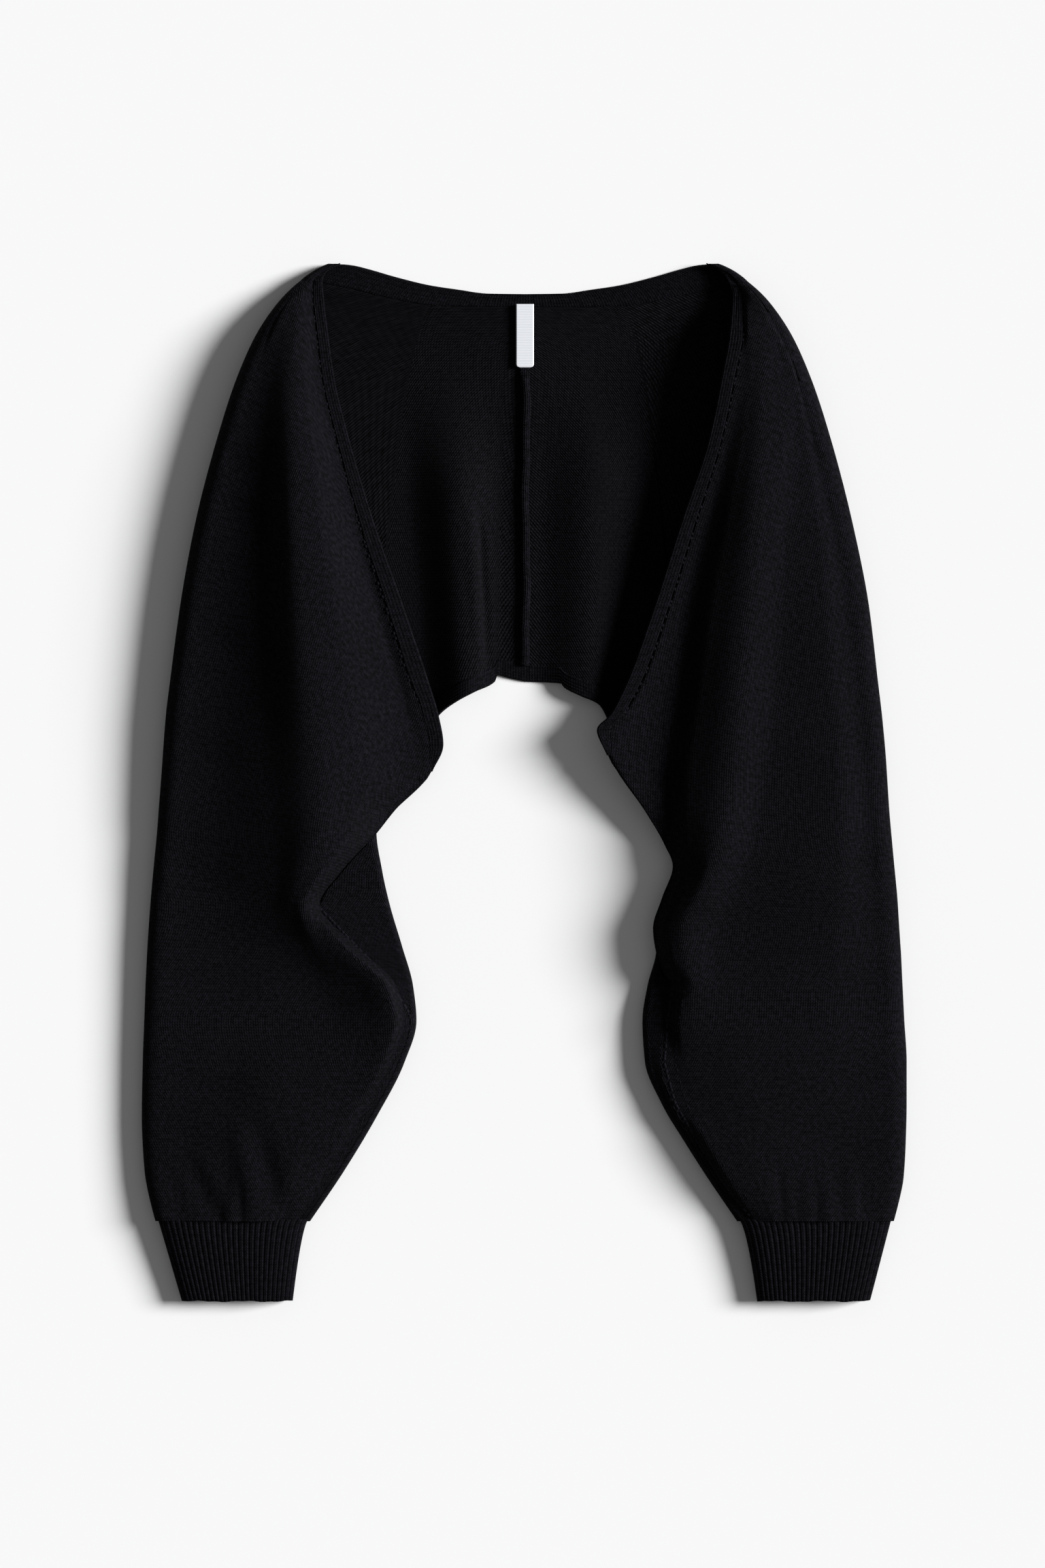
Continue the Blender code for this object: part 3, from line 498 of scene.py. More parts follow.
def knit_material(name, wale, course, purl, colours, relief, wander_share):
    """Matte black cotton knit. Each stitch is a pair of round legs that lean together.

    wale and course are the width and height of a stitch; the purl side shows its round loops. colours go from the
    painted shade in the gaps between the stitch legs to the painted light on their tops.
    """
    material = bpy.data.materials.new(name)
    material.use_nodes = True
    tree = material.node_tree
    surface = tree.nodes["Principled BSDF"]
    place = add(tree, "ShaderNodeUVMap", {}, uv_map="knit")
    parts = add(tree, "ShaderNodeSeparateXYZ", {0: place.outputs[0]})
    wander = add(tree, "ShaderNodeTexNoise", {"Vector": place.outputs[0], "Scale": 70.0, "Detail": 2.0})
    offset = add(tree, "ShaderNodeMath", {0: wander.outputs[0], 1: wander_share * wale * MM, 2: 0.0}, operation="MULTIPLY_ADD")
    across = add(tree, "ShaderNodeMath", {0: parts.outputs[0], 1: offset.outputs[0]}, operation="ADD")
    across = add(tree, "ShaderNodeMath", {0: across.outputs[0], 1: 1 / (wale * MM)}, operation="MULTIPLY")
    along = add(tree, "ShaderNodeMath", {0: parts.outputs[1], 1: 1 / (course * MM)}, operation="MULTIPLY")
    cell = add(tree, "ShaderNodeMath", {0: across.outputs[0]}, operation="FRACT")
    middle = add(tree, "ShaderNodeMath", {0: cell.outputs[0], 1: 0.5}, operation="SUBTRACT")
    away = add(tree, "ShaderNodeMath", {0: middle.outputs[0]}, operation="ABSOLUTE")
    lean = -0.6 if purl else 1.3
    phase = add(tree, "ShaderNodeMath", {0: away.outputs[0], 1: lean, 2: along.outputs[0]}, operation="MULTIPLY_ADD")
    turn = add(tree, "ShaderNodeMath", {0: phase.outputs[0], 1: 2 * math.pi}, operation="MULTIPLY")
    wave = add(tree, "ShaderNodeMath", {0: turn.outputs[0]}, operation="COSINE")
    legs = 2 * math.pi if purl else 4 * math.pi
    sweep = add(tree, "ShaderNodeMath", {0: cell.outputs[0], 1: legs}, operation="MULTIPLY")
    round_leg = add(tree, "ShaderNodeMath", {0: sweep.outputs[0]}, operation="COSINE")
    ridge = add(tree, "ShaderNodeMath", {0: round_leg.outputs[0], 1: -0.5, 2: 0.5}, operation="MULTIPLY_ADD")
    bead = add(tree, "ShaderNodeMath", {0: wave.outputs[0], 1: 0.4, 2: 0.6}, operation="MULTIPLY_ADD")
    stitch = add(tree, "ShaderNodeMath", {0: ridge.outputs[0], 1: bead.outputs[0]}, operation="MULTIPLY")
    fibre = add(tree, "ShaderNodeTexNoise", {"Vector": place.outputs[0], "Scale": 1500.0, "Detail": 2.0})
    uneven = add(tree, "ShaderNodeTexNoise", {"Vector": place.outputs[0], "Scale": 330.0, "Detail": 3.0})
    height = add(
        tree,
        "ShaderNodeMath",
        {0: fibre.outputs[0], 1: 0.25, 2: stitch.outputs[0]},
        operation="MULTIPLY_ADD",
    )
    height = add(
        tree,
        "ShaderNodeMath",
        {0: uneven.outputs[0], 1: 0.45, 2: height.outputs[0]},
        operation="MULTIPLY_ADD",
    )
    bump = add(tree, "ShaderNodeBump", {"Strength": 1.0, "Distance": relief * MM, "Height": height.outputs[0]})
    patches = add(tree, "ShaderNodeTexNoise", {"Vector": place.outputs[0], "Scale": 14.0, "Detail": 3.0})
    # Painted shade and light: the colour is darker in the gaps between the stitch legs and lighter on their tops,
    # mixed with random patches and speckle.
    mottle_and_painted_stitch_shade = add(
        tree,
        "ShaderNodeMath",
        {0: patches.outputs[0], 1: 0.4, 2: stitch.outputs[0]},
        operation="MULTIPLY_ADD",
    )
    speckle = add(
        tree,
        "ShaderNodeMath",
        {0: uneven.outputs[0], 1: 2.2, 2: -1.1},
        operation="MULTIPLY_ADD",
    )
    mottle_and_painted_stitch_shade = add(tree, "ShaderNodeMath", {0: speckle.outputs[0], 1: mottle_and_painted_stitch_shade.outputs[0]}, operation="ADD")
    tone = add(tree, "ShaderNodeMath", {0: mottle_and_painted_stitch_shade.outputs[0], 1: 0.7}, operation="MULTIPLY", use_clamp=True)
    colour = add(tree, "ShaderNodeMix", {0: tone.outputs[0], 6: linear(colours[0]), 7: linear(colours[1])}, data_type="RGBA")
    tree.links.new(colour.outputs[2], surface.inputs["Base Color"])
    tree.links.new(bump.outputs[0], surface.inputs["Normal"])
    surface.inputs["Roughness"].default_value = 0.9
    surface.inputs["Specular IOR Level"].default_value = 0.04
    return material


# The real stitches are 1.7 mm wide and 1.3 mm high. They are drawn 2.5 x 2.0 mm, because finer ones
# don't show in the render.
plain_knit = knit_material("plain_cotton_knit", 2.5, 2.0, False, ("#040405", "#1a1a20"), 0.75, 0.45)
purl_knit = knit_material("purl_side_of_the_knit", 2.5, 2.0, True, ("#040405", "#18181d"), 0.7, 0.45)

points, hem_seam_row, hem_row = half_points(LEFT, LEFT_CREASES, LEFT_HIDDEN_CREASES)
front_columns = len(column_places(FRONT_SPANS)) - 1
half_left = cloth(
    "left_half_knit",
    points,
    knit_places(LEFT, points, LEFT_LEANS),
    lambda row, column: column >= front_columns and hem_seam_row <= row < hem_row,
    LEFT.side,
    CLOTH_WALL,
    [plain_knit, purl_knit],
)
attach(half_left, "root")
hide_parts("half_left")

# Right half: the mirror image in cut, lying in its own folds. The underarm seam runs down the
# inner edge of the sleeve, and the long fold over the sleeve is sharper than on the left.
RIGHT_STATIONS = [
    Station(380.5, 133, 6.2, 134.4, 135, 6.4, 135.7, 6.5, 136.3, 6.5, 137, 6.4, 137.5, 6.3, 141.6, 6.2, 2.6),
    Station(374, 144.5, 8, 147.6, 148.1, 8.4, 148.6, 8.6, 149.1, 8.8, 149.5, 8.9, 149.9, 9.0, 154.3, 9, 3),
    Station(366.2, 149.5, 10, 154.6, 155.5, 11, 156.4, 11.5, 157.3, 11.8, 158.1, 12, 158.8, 12, 164.5, 12, 4),
    Station(355, 152, 12.5, 160, 162, 15.5, 164, 16.8, 166, 17.6, 168, 17.7, 169, 17.6, 176.5, 17, 6),
    Station(330, 149.8, 23, 160, 163.5, 25.5, 167.5, 25.6, 171.5, 25.3, 178, 24.3, 182, 23.2, 194.3, 20.8, 8),
    Station(295, 143.4, 27, 153.5, 158.5, 27.2, 165.5, 28.3, 172, 28.8, 193, 22.8, 197, 22, 210.2, 20.3, 10),
    Station(250, 134, 24.5, 144, 148, 24.3, 160, 28, 171, 30.5, 195, 23.5, 205, 22.5, 224.8, 19.8, 12),
    Station(190, 114, 21.5, 125, 134, 20, 150, 27.5, 167, 33, 193.5, 24.5, 213.5, 24, 240.3, 19.5, 13),
    Station(130, 94.8, 20.5, 106, 119.5, 17.5, 139, 27, 162, 33.8, 190.5, 24.5, 218, 25.5, 252.2, 19.3, 13),
    Station(75, 75, 20.5, 86, 112, 16, 131, 26, 156.5, 34.3, 186, 24.3, 221, 26, 258.8, 19.2, 13),
    Station(50, 62.5, 21.5, 72, 107.5, 15.5, 128, 26, 154.5, 34.3, 183.5, 24.3, 225, 26.3, 261.8, 19.2, 13),
    Station(38, 52.5, 22, 61.5, 104.5, 15.5, 126, 26, 153.5, 34.3, 182, 24.2, 226, 26.4, 263, 19.2, 13),
    Station(20, 60.3, 22, 61.8, 101.5, 15.3, 123.5, 26, 151.5, 34.5, 180, 24, 227, 26.5, 264.6, 19.2, 13),
    Station(5, 69.5, 20, 69.5, 100, 15.2, 121, 26, 149.5, 34.5, 177, 24, 228, 26.5, 265.6, 19.2, 13),
    Station(-20, 87.2, 16.5, 87.2, 103.5, 16, 119.5, 26, 146, 33.8, 173.5, 23.8, 229, 26.5, 267.2, 19.2, 13),
    Station(-45, 102, 12.5, 102, 109, 16, 120, 24, 141, 32, 169.5, 23, 229, 26.3, 269.4, 19.2, 13),
    Station(-62, 108.5, 12, 108.5, 115, 18, 124.5, 25, 136, 30.3, 164, 22.5, 229, 26, 271, 19, 13),
    Station(-85, 100.5, 12.5, 100.5, 108, 19, 117, 25, 126, 28.5, 157, 21.8, 228, 25.5, 273.2, 18.8, 13),
    Station(-107, 94, 12.5, 94, 101, 19.5, 107, 23.5, 116, 26.5, 146, 20.5, 225.5, 25, 274.6, 18.5, 13),
    Station(-128, 97, 13.5, 97, 103, 19, 109.5, 23.3, 118.5, 25.3, 141, 20.8, 223, 24.3, 276, 18.3, 13),
    Station(-139, 101.2, 12.2, 101.2, 107, 17.5, 113.5, 22.3, 120, 24.3, 141, 21.3, 221.5, 24, 276.5, 18.2, 13),
    Station(-149, 106, 11, 106, 111.7, 16, 117.5, 21.3, 123.5, 23.3, 142, 21.8, 220, 23.5, 277, 18, 13),
    Station(-175, 101, 13, 101, 107.5, 15.5, 114, 20.5, 125, 22, 152, 22, 217, 22.5, 278.3, 18, 13),
    Station(-205, 99, 13.5, 99, 108, 14.5, 118.5, 17, 133.5, 19, 160.5, 21.3, 217, 21.5, 280, 18, 13),
    Station(-235, 107.5, 13.5, 107.5, 117.5, 15, 131, 17, 146, 19.5, 169, 22, 218.5, 20.5, 280, 18, 12),
    Station(-265, 125.5, 13, 125.5, 134.5, 18, 147.5, 19, 162, 20, 180.5, 20, 220, 19, 279.3, 17.5, 12),
    Station(-290, 141.5, 12.3, 141.5, 149.5, 17.5, 160, 18.8, 172.5, 19.5, 188, 19, 220, 18, 277.8, 16.5, 11),
    Station(-321.5, 163.5, 10.5, 163.5, 170, 12.5, 177, 14.5, 186, 16.5, 200, 17, 222, 17, 270.8, 13.5, 9),
]
RIGHT_HEM = [
    (0, 74), (26.5, 72.4), (28.5, 69.5), (40, 63.5), (54, 57), (62, 43), (70, 24), (93, -16), (117, -62),
]
RIGHT_TURN = [
    (-321.5, 155.5, 10), (-290, 134, 11), (-265, 118, 11.5), (-235, 100, 11.5), (-205, 88, 11),
    (-175, 86.2, 10.5), (-149, 90, 9.5), (-128, 95.8, 9), (-107, 98.5, 8.5), (-85, 105, 8), (-62, 112, 8),
]
RIGHT = Half(1, RIGHT_STATIONS, RIGHT_TURN, RIGHT_HEM, 16, 21, 12)
RIGHT_CREASES = [
    Crease(226, -270, 231, -302, 234, -336, 4.0, -1.5),
    Crease(238, -280, 240, -306, 241, -336, 3.2, 0.8),
    Crease(246, -276, 249, -304, 251, -336, 3.4, -1.2),
    Crease(213, -290, 214, -310, 214, -334, 2.8, -0.8),
    Crease(199, -286, 200, -308, 200, -334, 3.2, -0.9),
    Crease(184, -272, 188, -302, 190, -334, 4.0, -1.1),
    Crease(221, -286, 222, -308, 221, -334, 3.0, 0.6),
    Crease(196, 332, 189, 250, 180, 150, 7.0, 1.5),
    Crease(231, 206, 214, 198, 193, 203, 9.0, -1.0),
    Crease(225, 252, 212, 243, 196, 240, 8.0, -0.9),
    Crease(244, 120, 226, 109, 204, 112, 10.0, -1.1),
    Crease(256, 34, 236, 25, 206, 31, 9.0, -0.9),
    Crease(262, -52, 238, -66, 204, -58, 11.0, -1.2),
    Crease(266, -134, 236, -151, 192, -140, 12.0, -1.3),
    Crease(262, -208, 236, -221, 199, -212, 10.0, -1.2),
    Crease(256, -262, 240, -272, 214, -268, 7.0, -1.0),
]
RIGHT_HIDDEN_CREASES = [
    Crease(230, 180, 212, 173, 191, 180, 8.0, -0.9),
    Crease(248, 70, 228, 59, 203, 64, 10.0, -1.0),
    Crease(262, -60, 236, -75, 203, -66, 10.0, -1.1),
    Crease(264, -170, 238, -182, 201, -173, 9.0, -1.1),
    Crease(240, -287, 236, -301, 233, -319, 3.5, -1.2),
    Crease(208, -293, 206, -306, 205, -320, 3.0, -1.0),
]
RIGHT_LEANS = [
    Lean(360, 14), Lean(300, 16), Lean(240, 17), Lean(180, 16), Lean(120, 14), Lean(60, 12),
    Lean(0, 9), Lean(-60, 5), Lean(-110, 2), Lean(-150, 0), Lean(-330, 0),
]
points, hem_seam_row, hem_row = half_points(RIGHT, RIGHT_CREASES, RIGHT_HIDDEN_CREASES)
half_right = cloth(
    "right_half_knit",
    points,
    knit_places(RIGHT, points, RIGHT_LEANS),
    lambda row, column: column >= front_columns and hem_seam_row <= row < hem_row,
    RIGHT.side,
    CLOTH_WALL,
    [plain_knit, purl_knit],
)
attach(half_right, "root")
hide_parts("half_right")

# Bands: narrow plain-knit strips with their wales along the edge. One lies along each front edge,
# one along the back neck, and a turned one along the lower edge of the back.
BAND_WALL = 2.6
NECK_SEAM_ROW_LAP = 0.10
HEM_SEAM_ROW_LAP = 0.12
WALES_ACROSS_BAND = 5
BAND_WALE_RELIEF = 0.45
STEPS_ACROSS_BAND = 20
BAND_ROW_STEP = 2.0
NECK_BAND_SPANS = [(1, 7, 4), (7, 8, 8), (8, 9, 20), (9, 10, 70)]
HEM_BAND_SPANS = [(9.03, 10, 60)]


def closed_shell(name, points, uv, material):
    """A closed shell from a grid of points that wraps round on itself; open ends are capped."""
    rows, columns = points.shape[:2]
    grid = bmesh.new()
    size = Matrix.Diagonal((columns - 1, rows - 1, 1, 1))
    centre = Matrix.Translation(((columns - 1) / 2, (rows - 1) / 2, 0))
    bmesh.ops.create_grid(grid, x_segments=columns - 1, y_segments=rows - 1, size=0.5, matrix=centre @ size)
    layer = grid.loops.layers.uv.new("knit")
    places = {vert: (round(vert.co.y), round(vert.co.x)) for vert in grid.verts}
    for face in grid.faces:
        for loop in face.loops:
            loop[layer].uv = uv[places[loop.vert]]
    for vert in grid.verts:
        vert.co = points[places[vert]] * MM + SHIFT
    bmesh.ops.remove_doubles(grid, verts=grid.verts, dist=LEAST_STEP * MM)
    open_edges = [edge for edge in grid.edges if edge.is_boundary]
    if open_edges:
        bmesh.ops.holes_fill(grid, edges=open_edges, sides=0)
    bmesh.ops.recalc_face_normals(grid, faces=grid.faces)
    mesh = bpy.data.meshes.new(name)
    grid.to_mesh(mesh)
    grid.free()
    mesh.materials.append(material)
    mesh.shade_smooth()
    piece = bpy.data.objects.new(name, mesh)
    bpy.context.scene.collection.objects.link(piece)
    return piece


def band(name, middle, side, material):
    """A band from the grid of its middle, whose columns run across it: each wale is a round cord."""
    parts = np.linspace(0, 1, middle.shape[1])
    out = outward(middle, side)
    half_wall = BAND_WALL / 2 * np.sqrt(1 - np.abs(2 * parts - 1) ** 6)
    cords = BAND_WALE_RELIEF * np.abs(np.sin(np.pi * WALES_ACROSS_BAND * parts)) ** 0.7
    over = middle + out * (half_wall + cords - BAND_WALE_RELIEF / 2 * np.sin(np.pi * parts) ** 0.5)[None, :, None]
    under = middle - out * half_wall[None, :, None]
    across = run_across(middle, 0)
    steps = np.linalg.norm(np.diff(middle, axis=0), axis=-1).mean(axis=1)
    along = np.concatenate([[0], np.cumsum(steps)])[:, None] + 0 * across
    uv = np.stack([across, along], axis=-1) * MM
    points = np.concatenate([over, under[:, -2::-1]], axis=1)
    uv = np.concatenate([uv, uv[:, -2::-1]], axis=1)
    return closed_shell(name, points, uv, material)


def front_band_points(half):
    rows = rows_between(half, 0, half.band_end_station, BAND_ROW_STEP)
    sections = Sections(half, rows)
    sections.seam_o = sections.seam_o - front_seam_gap(half, sections.rows) / 2
    places = np.linspace(0, 1, STEPS_ACROSS_BAND + 1)
    return np.stack([sections.column(place) for place in places], axis=1)


def back_band_points(at_hem, spans):
    """The grid of a band right across the back, its columns running across the band."""
    lines = []
    for half in (LEFT, RIGHT):
        if at_hem:
            end = half.hem_station
            rows = np.linspace(end - 1 - HEM_SEAM_ROW_LAP, end, STEPS_ACROSS_BAND + 1)
        else:
            rows = np.linspace(0, NECK_SEAM_STATION + NECK_SEAM_ROW_LAP, STEPS_ACROSS_BAND + 1)
        sections = Sections(half, rows)
        sections.seam_o = sections.seam_o + FRONT_SEAM_GAP / 2
        lines.append([sections.column(place) for place in column_places(spans)])
    line = lines[0] + lines[1][::-1][1:]
    centre = len(lines[0]) - 1
    line[centre] = line[centre] * np.array([0.0, 1.0, 1.0])
    lift = np.array([0, 0, (BAND_WALL - CLOTH_WALL) / 2])
    return np.array(line) + lift


band_knit = knit_material("band_knit", 2.1, 2.0, False, ("#040405", "#1a1a20"), 0.6, 0.3)
front_band_left = band("left_front_band", front_band_points(LEFT), LEFT.side, band_knit)
front_band_right = band("right_front_band", front_band_points(RIGHT), RIGHT.side, band_knit)
neck_band = band("back_neck_band", back_band_points(False, NECK_BAND_SPANS), -1, band_knit)
hem_band = band("back_hem_band", back_band_points(True, HEM_BAND_SPANS), -1, band_knit)
for piece, node, flat in (
    (front_band_left, "front_band_left", (0.0125, 0.37)),
    (front_band_right, "front_band_right", (0.012, 0.36)),
    (neck_band, "neck_band", (0.0150, 0.38)),
    (hem_band, "hem_band", (0.0135, 0.29)),
):
    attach(piece, "root")
    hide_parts(node)

# Linking loops and fashioning marks: black cotton yarn. The loops bridge the groove between each
# front band and its half, and join the underarm seam; the marks show where stitches were moved.
YARN_WALL = BAND_WALL / 2
LOOP_SIZE = (2.4, 3.0, 1.3)
LOOP_SPACING = 6.5
LOOP_UNEVENNESS = 0.3
SEAM_STITCH_SIZE = (2.6, 3.4, 1.5)
SEAM_STITCH_SPACING = 2.9
MARK_SIZE = (1.7, 2.6, 0.9)
MARK_SPACING = 6.0
MARK_INSET = 8.0
LEFT_UNDERARM_SEAM = [(-151, -92), (-142, -101), (-110, -135), (-89, -163), (-84, -172)]
RIGHT_UNDERARM_SEAM = [
    (109, -150), (105, -175), (102, -205), (110, -235), (128, -265), (144, -290), (166, -319),
]


def evenly(corners, spacing):
    """Places about evenly spaced along a line of points, and the way along the line at each."""
    corners = np.array(corners, float)
    run = np.concatenate([[0], np.cumsum(np.linalg.norm(np.diff(corners, axis=0), axis=1))])
    number = np.arange(int(run[-1] / spacing))
    at = (number + 0.5 + LOOP_UNEVENNESS * np.sin(2.4 * number)) * spacing
    places = np.stack([np.interp(at, run, corners[:, axis]) for axis in range(corners.shape[1])], axis=1)
    ahead = np.stack([np.interp(at + 1, run, corners[:, axis]) for axis in range(corners.shape[1])], axis=1)
    behind = np.stack([np.interp(at - 1, run, corners[:, axis]) for axis in range(corners.shape[1])], axis=1)
    return places, ahead - behind


def yarn_stitches(name, places, size, material):
    """Small round stitches joined in one mesh. Each place is a point, the way along and the way out."""
    grid = bmesh.new()
    stretch = Matrix.Diagonal((size[0] * MM / 2, size[1] * MM / 2, size[2] * MM / 2, 1.0))
    for point, along, out in places:
        along = (along - out * along.dot(out)).normalized()
        turn = Matrix((along.cross(out), along, out)).transposed().to_4x4()
        move = Matrix.Translation(point) @ turn @ stretch
        bmesh.ops.create_uvsphere(grid, u_segments=8, v_segments=5, radius=1.0, matrix=move)
    bmesh.ops.recalc_face_normals(grid, faces=grid.faces)
    mesh = bpy.data.meshes.new(name)
    grid.to_mesh(mesh)
    grid.free()
    mesh.materials.append(material)
    mesh.shade_smooth()
    piece = bpy.data.objects.new(name, mesh)
    bpy.context.scene.collection.objects.link(piece)
    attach(piece, "root")
    return piece


def band_seam_places(half):
    """Places of the linking loops along one front band, on top of its groove."""
    rows = np.linspace(0.4, half.band_end_station - 0.3, 300)
    sections = Sections(half, rows)
    line = sections.column(1)
    out = np.cross(sections.column(1.05) - sections.column(0.95), np.gradient(line, axis=0)) * -half.side
    out = out / np.linalg.norm(out, axis=1, keepdims=True)
    places, along = evenly(line, LOOP_SPACING)
    found = []
    for place, way in zip(places, along):
        nearest = int(np.argmin(np.linalg.norm(line - place, axis=1)))
        top = (place + out[nearest] * YARN_WALL * 0.45) * MM + SHIFT
        found.append((Vector(top), Vector(way), Vector(out[nearest])))
    return found


def cloth_places(piece, corners, spacing, sink):
    """Places along a line drawn on a half as seen from above, on top of its cloth."""
    corners_of_faces = [face.vertices[:] for face in piece.data.polygons]
    tree = BVHTree.FromPolygons([vert.co for vert in piece.data.vertices], corners_of_faces)
    found = []
    for (x, y), (way_x, way_y) in zip(*evenly(corners, spacing)):
        start = Vector((x * MM + SHIFT[0], y * MM + SHIFT[1], 0.1))
        point, normal, _, _ = tree.ray_cast(start, Vector((0, 0, -1)))
        if point is None:
            continue
        out = normal if normal.z > 0 else -normal
        found.append((point + out * (CLOTH_WALL / 2 - sink) * MM, Vector((way_x, way_y, 0)), out))
    return found


# Yarn that isn't knitted in shows no stitches, only its fibres.
yarn = bpy.data.materials.new("black_linking_yarn")
yarn.use_nodes = True
yarn_place = add(yarn.node_tree, "ShaderNodeTexCoord", {})
yarn_fibre = add(
    yarn.node_tree,
    "ShaderNodeTexNoise",
    {"Vector": yarn_place.outputs["Object"], "Scale": 900.0, "Detail": 3.0},
)
yarn_colour = add(
    yarn.node_tree,
    "ShaderNodeMix",
    {0: yarn_fibre.outputs[0], 6: linear("#050507"), 7: linear("#1c1c22")},
    data_type="RGBA",
)
yarn_bump = add(
    yarn.node_tree,
    "ShaderNodeBump",
    {"Strength": 0.7, "Distance": 0.2 * MM, "Height": yarn_fibre.outputs[0]},
)
yarn_surface = yarn.node_tree.nodes["Principled BSDF"]
yarn.node_tree.links.new(yarn_colour.outputs[2], yarn_surface.inputs["Base Color"])
yarn.node_tree.links.new(yarn_bump.outputs[0], yarn_surface.inputs["Normal"])
yarn_surface.inputs["Roughness"].default_value = 0.9
yarn_surface.inputs["Specular IOR Level"].default_value = 0.04
for half, name in ((LEFT, "left_band_linking_loops"), (RIGHT, "right_band_linking_loops")):
    loops = yarn_stitches(name, band_seam_places(half), LOOP_SIZE, yarn)
for piece, side_name, corners, inset in (
    (half_left, "left", LEFT_UNDERARM_SEAM, -MARK_INSET),
    (half_right, "right", RIGHT_UNDERARM_SEAM, MARK_INSET),
):
    places = cloth_places(piece, corners, SEAM_STITCH_SPACING, 0.3)
    stitches = yarn_stitches(f"{side_name}_underarm_seam_stitches", places, SEAM_STITCH_SIZE, yarn)
    moved = [(x + inset, y) for x, y in corners]
    places = cloth_places(piece, moved, MARK_SPACING, 0.25)
    marks = yarn_stitches(f"{side_name}_fashioning_marks", places, MARK_SIZE, yarn)

# Cuffs: 1x1 rib tubes linked to the gathered ends of the sleeves. The ribs stand out as round
# cords, and the lower edge is a little wavy.
CUFF_TOP_Y = -320.2
CUFF_END_Y = -380.5
CUFF_WALL = 1.6
CUFF_HEIGHT = 14.5
CUFF_HEIGHT_LOSS = 3.5
CUFF_TOP_INSET_INNER = 1.5
CUFF_TOP_INSET_OUTER = 2.5
CUFF_NARROWING = {-1: (12.0, 17.5), 1: (14.0, 15.5)}
CUFF_INNER_CURVE = 0.6
CUFF_SQUARENESS = 0.62
RIBS_ROUND_CUFF = 54
RIB_PITCH = 3.2
RIB_RELIEF = 0.6
STEPS_A_RIB = 8
CUFF_ROWS = 30
CUFF_EDGE_WAVE = 0.35


def rib_places(half_width, half_height, count):
    """Evenly spaced places round a flat oval: how far across and how far up, each from -1 to 1."""
    angle = np.linspace(0, 2 * np.pi, 40 * RIBS_ROUND_CUFF)
    across = np.copysign(np.abs(np.cos(angle)) ** CUFF_SQUARENESS, np.cos(angle))
    up = np.copysign(np.abs(np.sin(angle)) ** CUFF_SQUARENESS, np.sin(angle))
    steps = np.hypot(np.diff(across) * half_width, np.diff(up) * half_height)
    run = np.concatenate([[0], np.cumsum(steps)])
    at = np.linspace(0, run[-1], count, endpoint=False)
    return np.interp(at, run, across), np.interp(at, run, up)


def cuff_points(half):
    """The grid of a cuff: columns go round it, rows down it."""
    inner_loss, outer_loss = CUFF_NARROWING[half.side]
    count = STEPS_A_RIB * RIBS_ROUND_CUFF
    number = np.arange(count + 1)
    turned = 2 * np.pi * (number % count) / count
    wave = np.sin(5 * turned + half.side) + 0.6 * np.sin(13 * turned + 1)
    rows = []
    rib = RIB_RELIEF * (0.5 + 0.5 * np.cos(2 * np.pi * number / STEPS_A_RIB)) ** 0.7
    down = list(np.linspace(0, 1, CUFF_ROWS + 1))
    for part, inside in [(part, False) for part in down] + [(part, True) for part in down[::-1]] + [(0, False)]:
        relief = -CUFF_WALL + 0 * rib if inside else rib
        inner = half.turn[0][1] + CUFF_TOP_INSET_INNER + inner_loss * part**CUFF_INNER_CURVE
        outer = half.stations[-1].outer_o - CUFF_TOP_INSET_OUTER - outer_loss * part
        half_height = (CUFF_HEIGHT - CUFF_HEIGHT_LOSS * part) / 2
        y = CUFF_TOP_Y + (CUFF_END_Y - CUFF_TOP_Y) * part + CUFF_EDGE_WAVE * part**6 * wave
        across, up = rib_places((outer - inner) / 2, half_height, count)
        o = (inner + outer) / 2 + across[number % count] * ((outer - inner) / 2 + relief)
        z = half_height + RIB_RELIEF + up[number % count] * (half_height + relief)
        rows.append(np.stack([half.side * o, y, z], axis=-1))
    return np.array(rows)


rib_knit = knit_material("rib_knit", RIB_PITCH, 2.0, False, ("#040406", "#16161b"), 0.3, 0.0)
for half, name, node in ((LEFT, "left_rib_cuff", "cuff_left"), (RIGHT, "right_rib_cuff", "cuff_right")):
    points = cuff_points(half)
    across = (np.arange(points.shape[1]) / STEPS_A_RIB + 0.5) * RIB_PITCH + 0 * points[..., 1]
    uv = np.stack([across, points[..., 1]], axis=-1) * MM
    cuff = closed_shell(name, points, uv, rib_knit)
    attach(cuff, "root")
    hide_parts(node)

# Centre back seam: the linked edges of the halves, turned to one side on the inside of the back.
SEAM_WIDTH = 6.0
SEAM_WALL = 1.6
SEAM_END_Y = 85.5
SEAM_ROW_STEP = 0.8
SEAM_CROWN = 1.6
SEAM_CROWN_FADE = 10.0
LABEL_END_Y = 304.5
rows = np.arange(SEAM_TOP_Y, SEAM_END_Y, -SEAM_ROW_STEP)
across = np.linspace(-SEAM_WIDTH / 2, SEAM_WIDTH / 2, 13)
grid_x, grid_y = np.meshgrid(across, rows)
chain = 0.35 * np.abs(np.sin(np.pi * (grid_y / 3.0 + np.abs(grid_x) / 4.0)))
below_label = np.clip((LABEL_END_Y - grid_y) / SEAM_CROWN_FADE, 0, 1)
crown = SEAM_CROWN * below_label * (1 - (2 * grid_x / SEAM_WIDTH) ** 2)
grid_z = CLOTH_WALL + PIECE_GAP + SEAM_WALL / 2 + chain + crown
uv = np.stack([grid_x, grid_y], axis=-1) * MM
grid_x = grid_x + below_label * (0.5 * np.sin(grid_y / 19) + 0.3 * np.sin(grid_y / 7.3 + 1))
points = np.stack([grid_x, grid_y, grid_z], axis=-1)
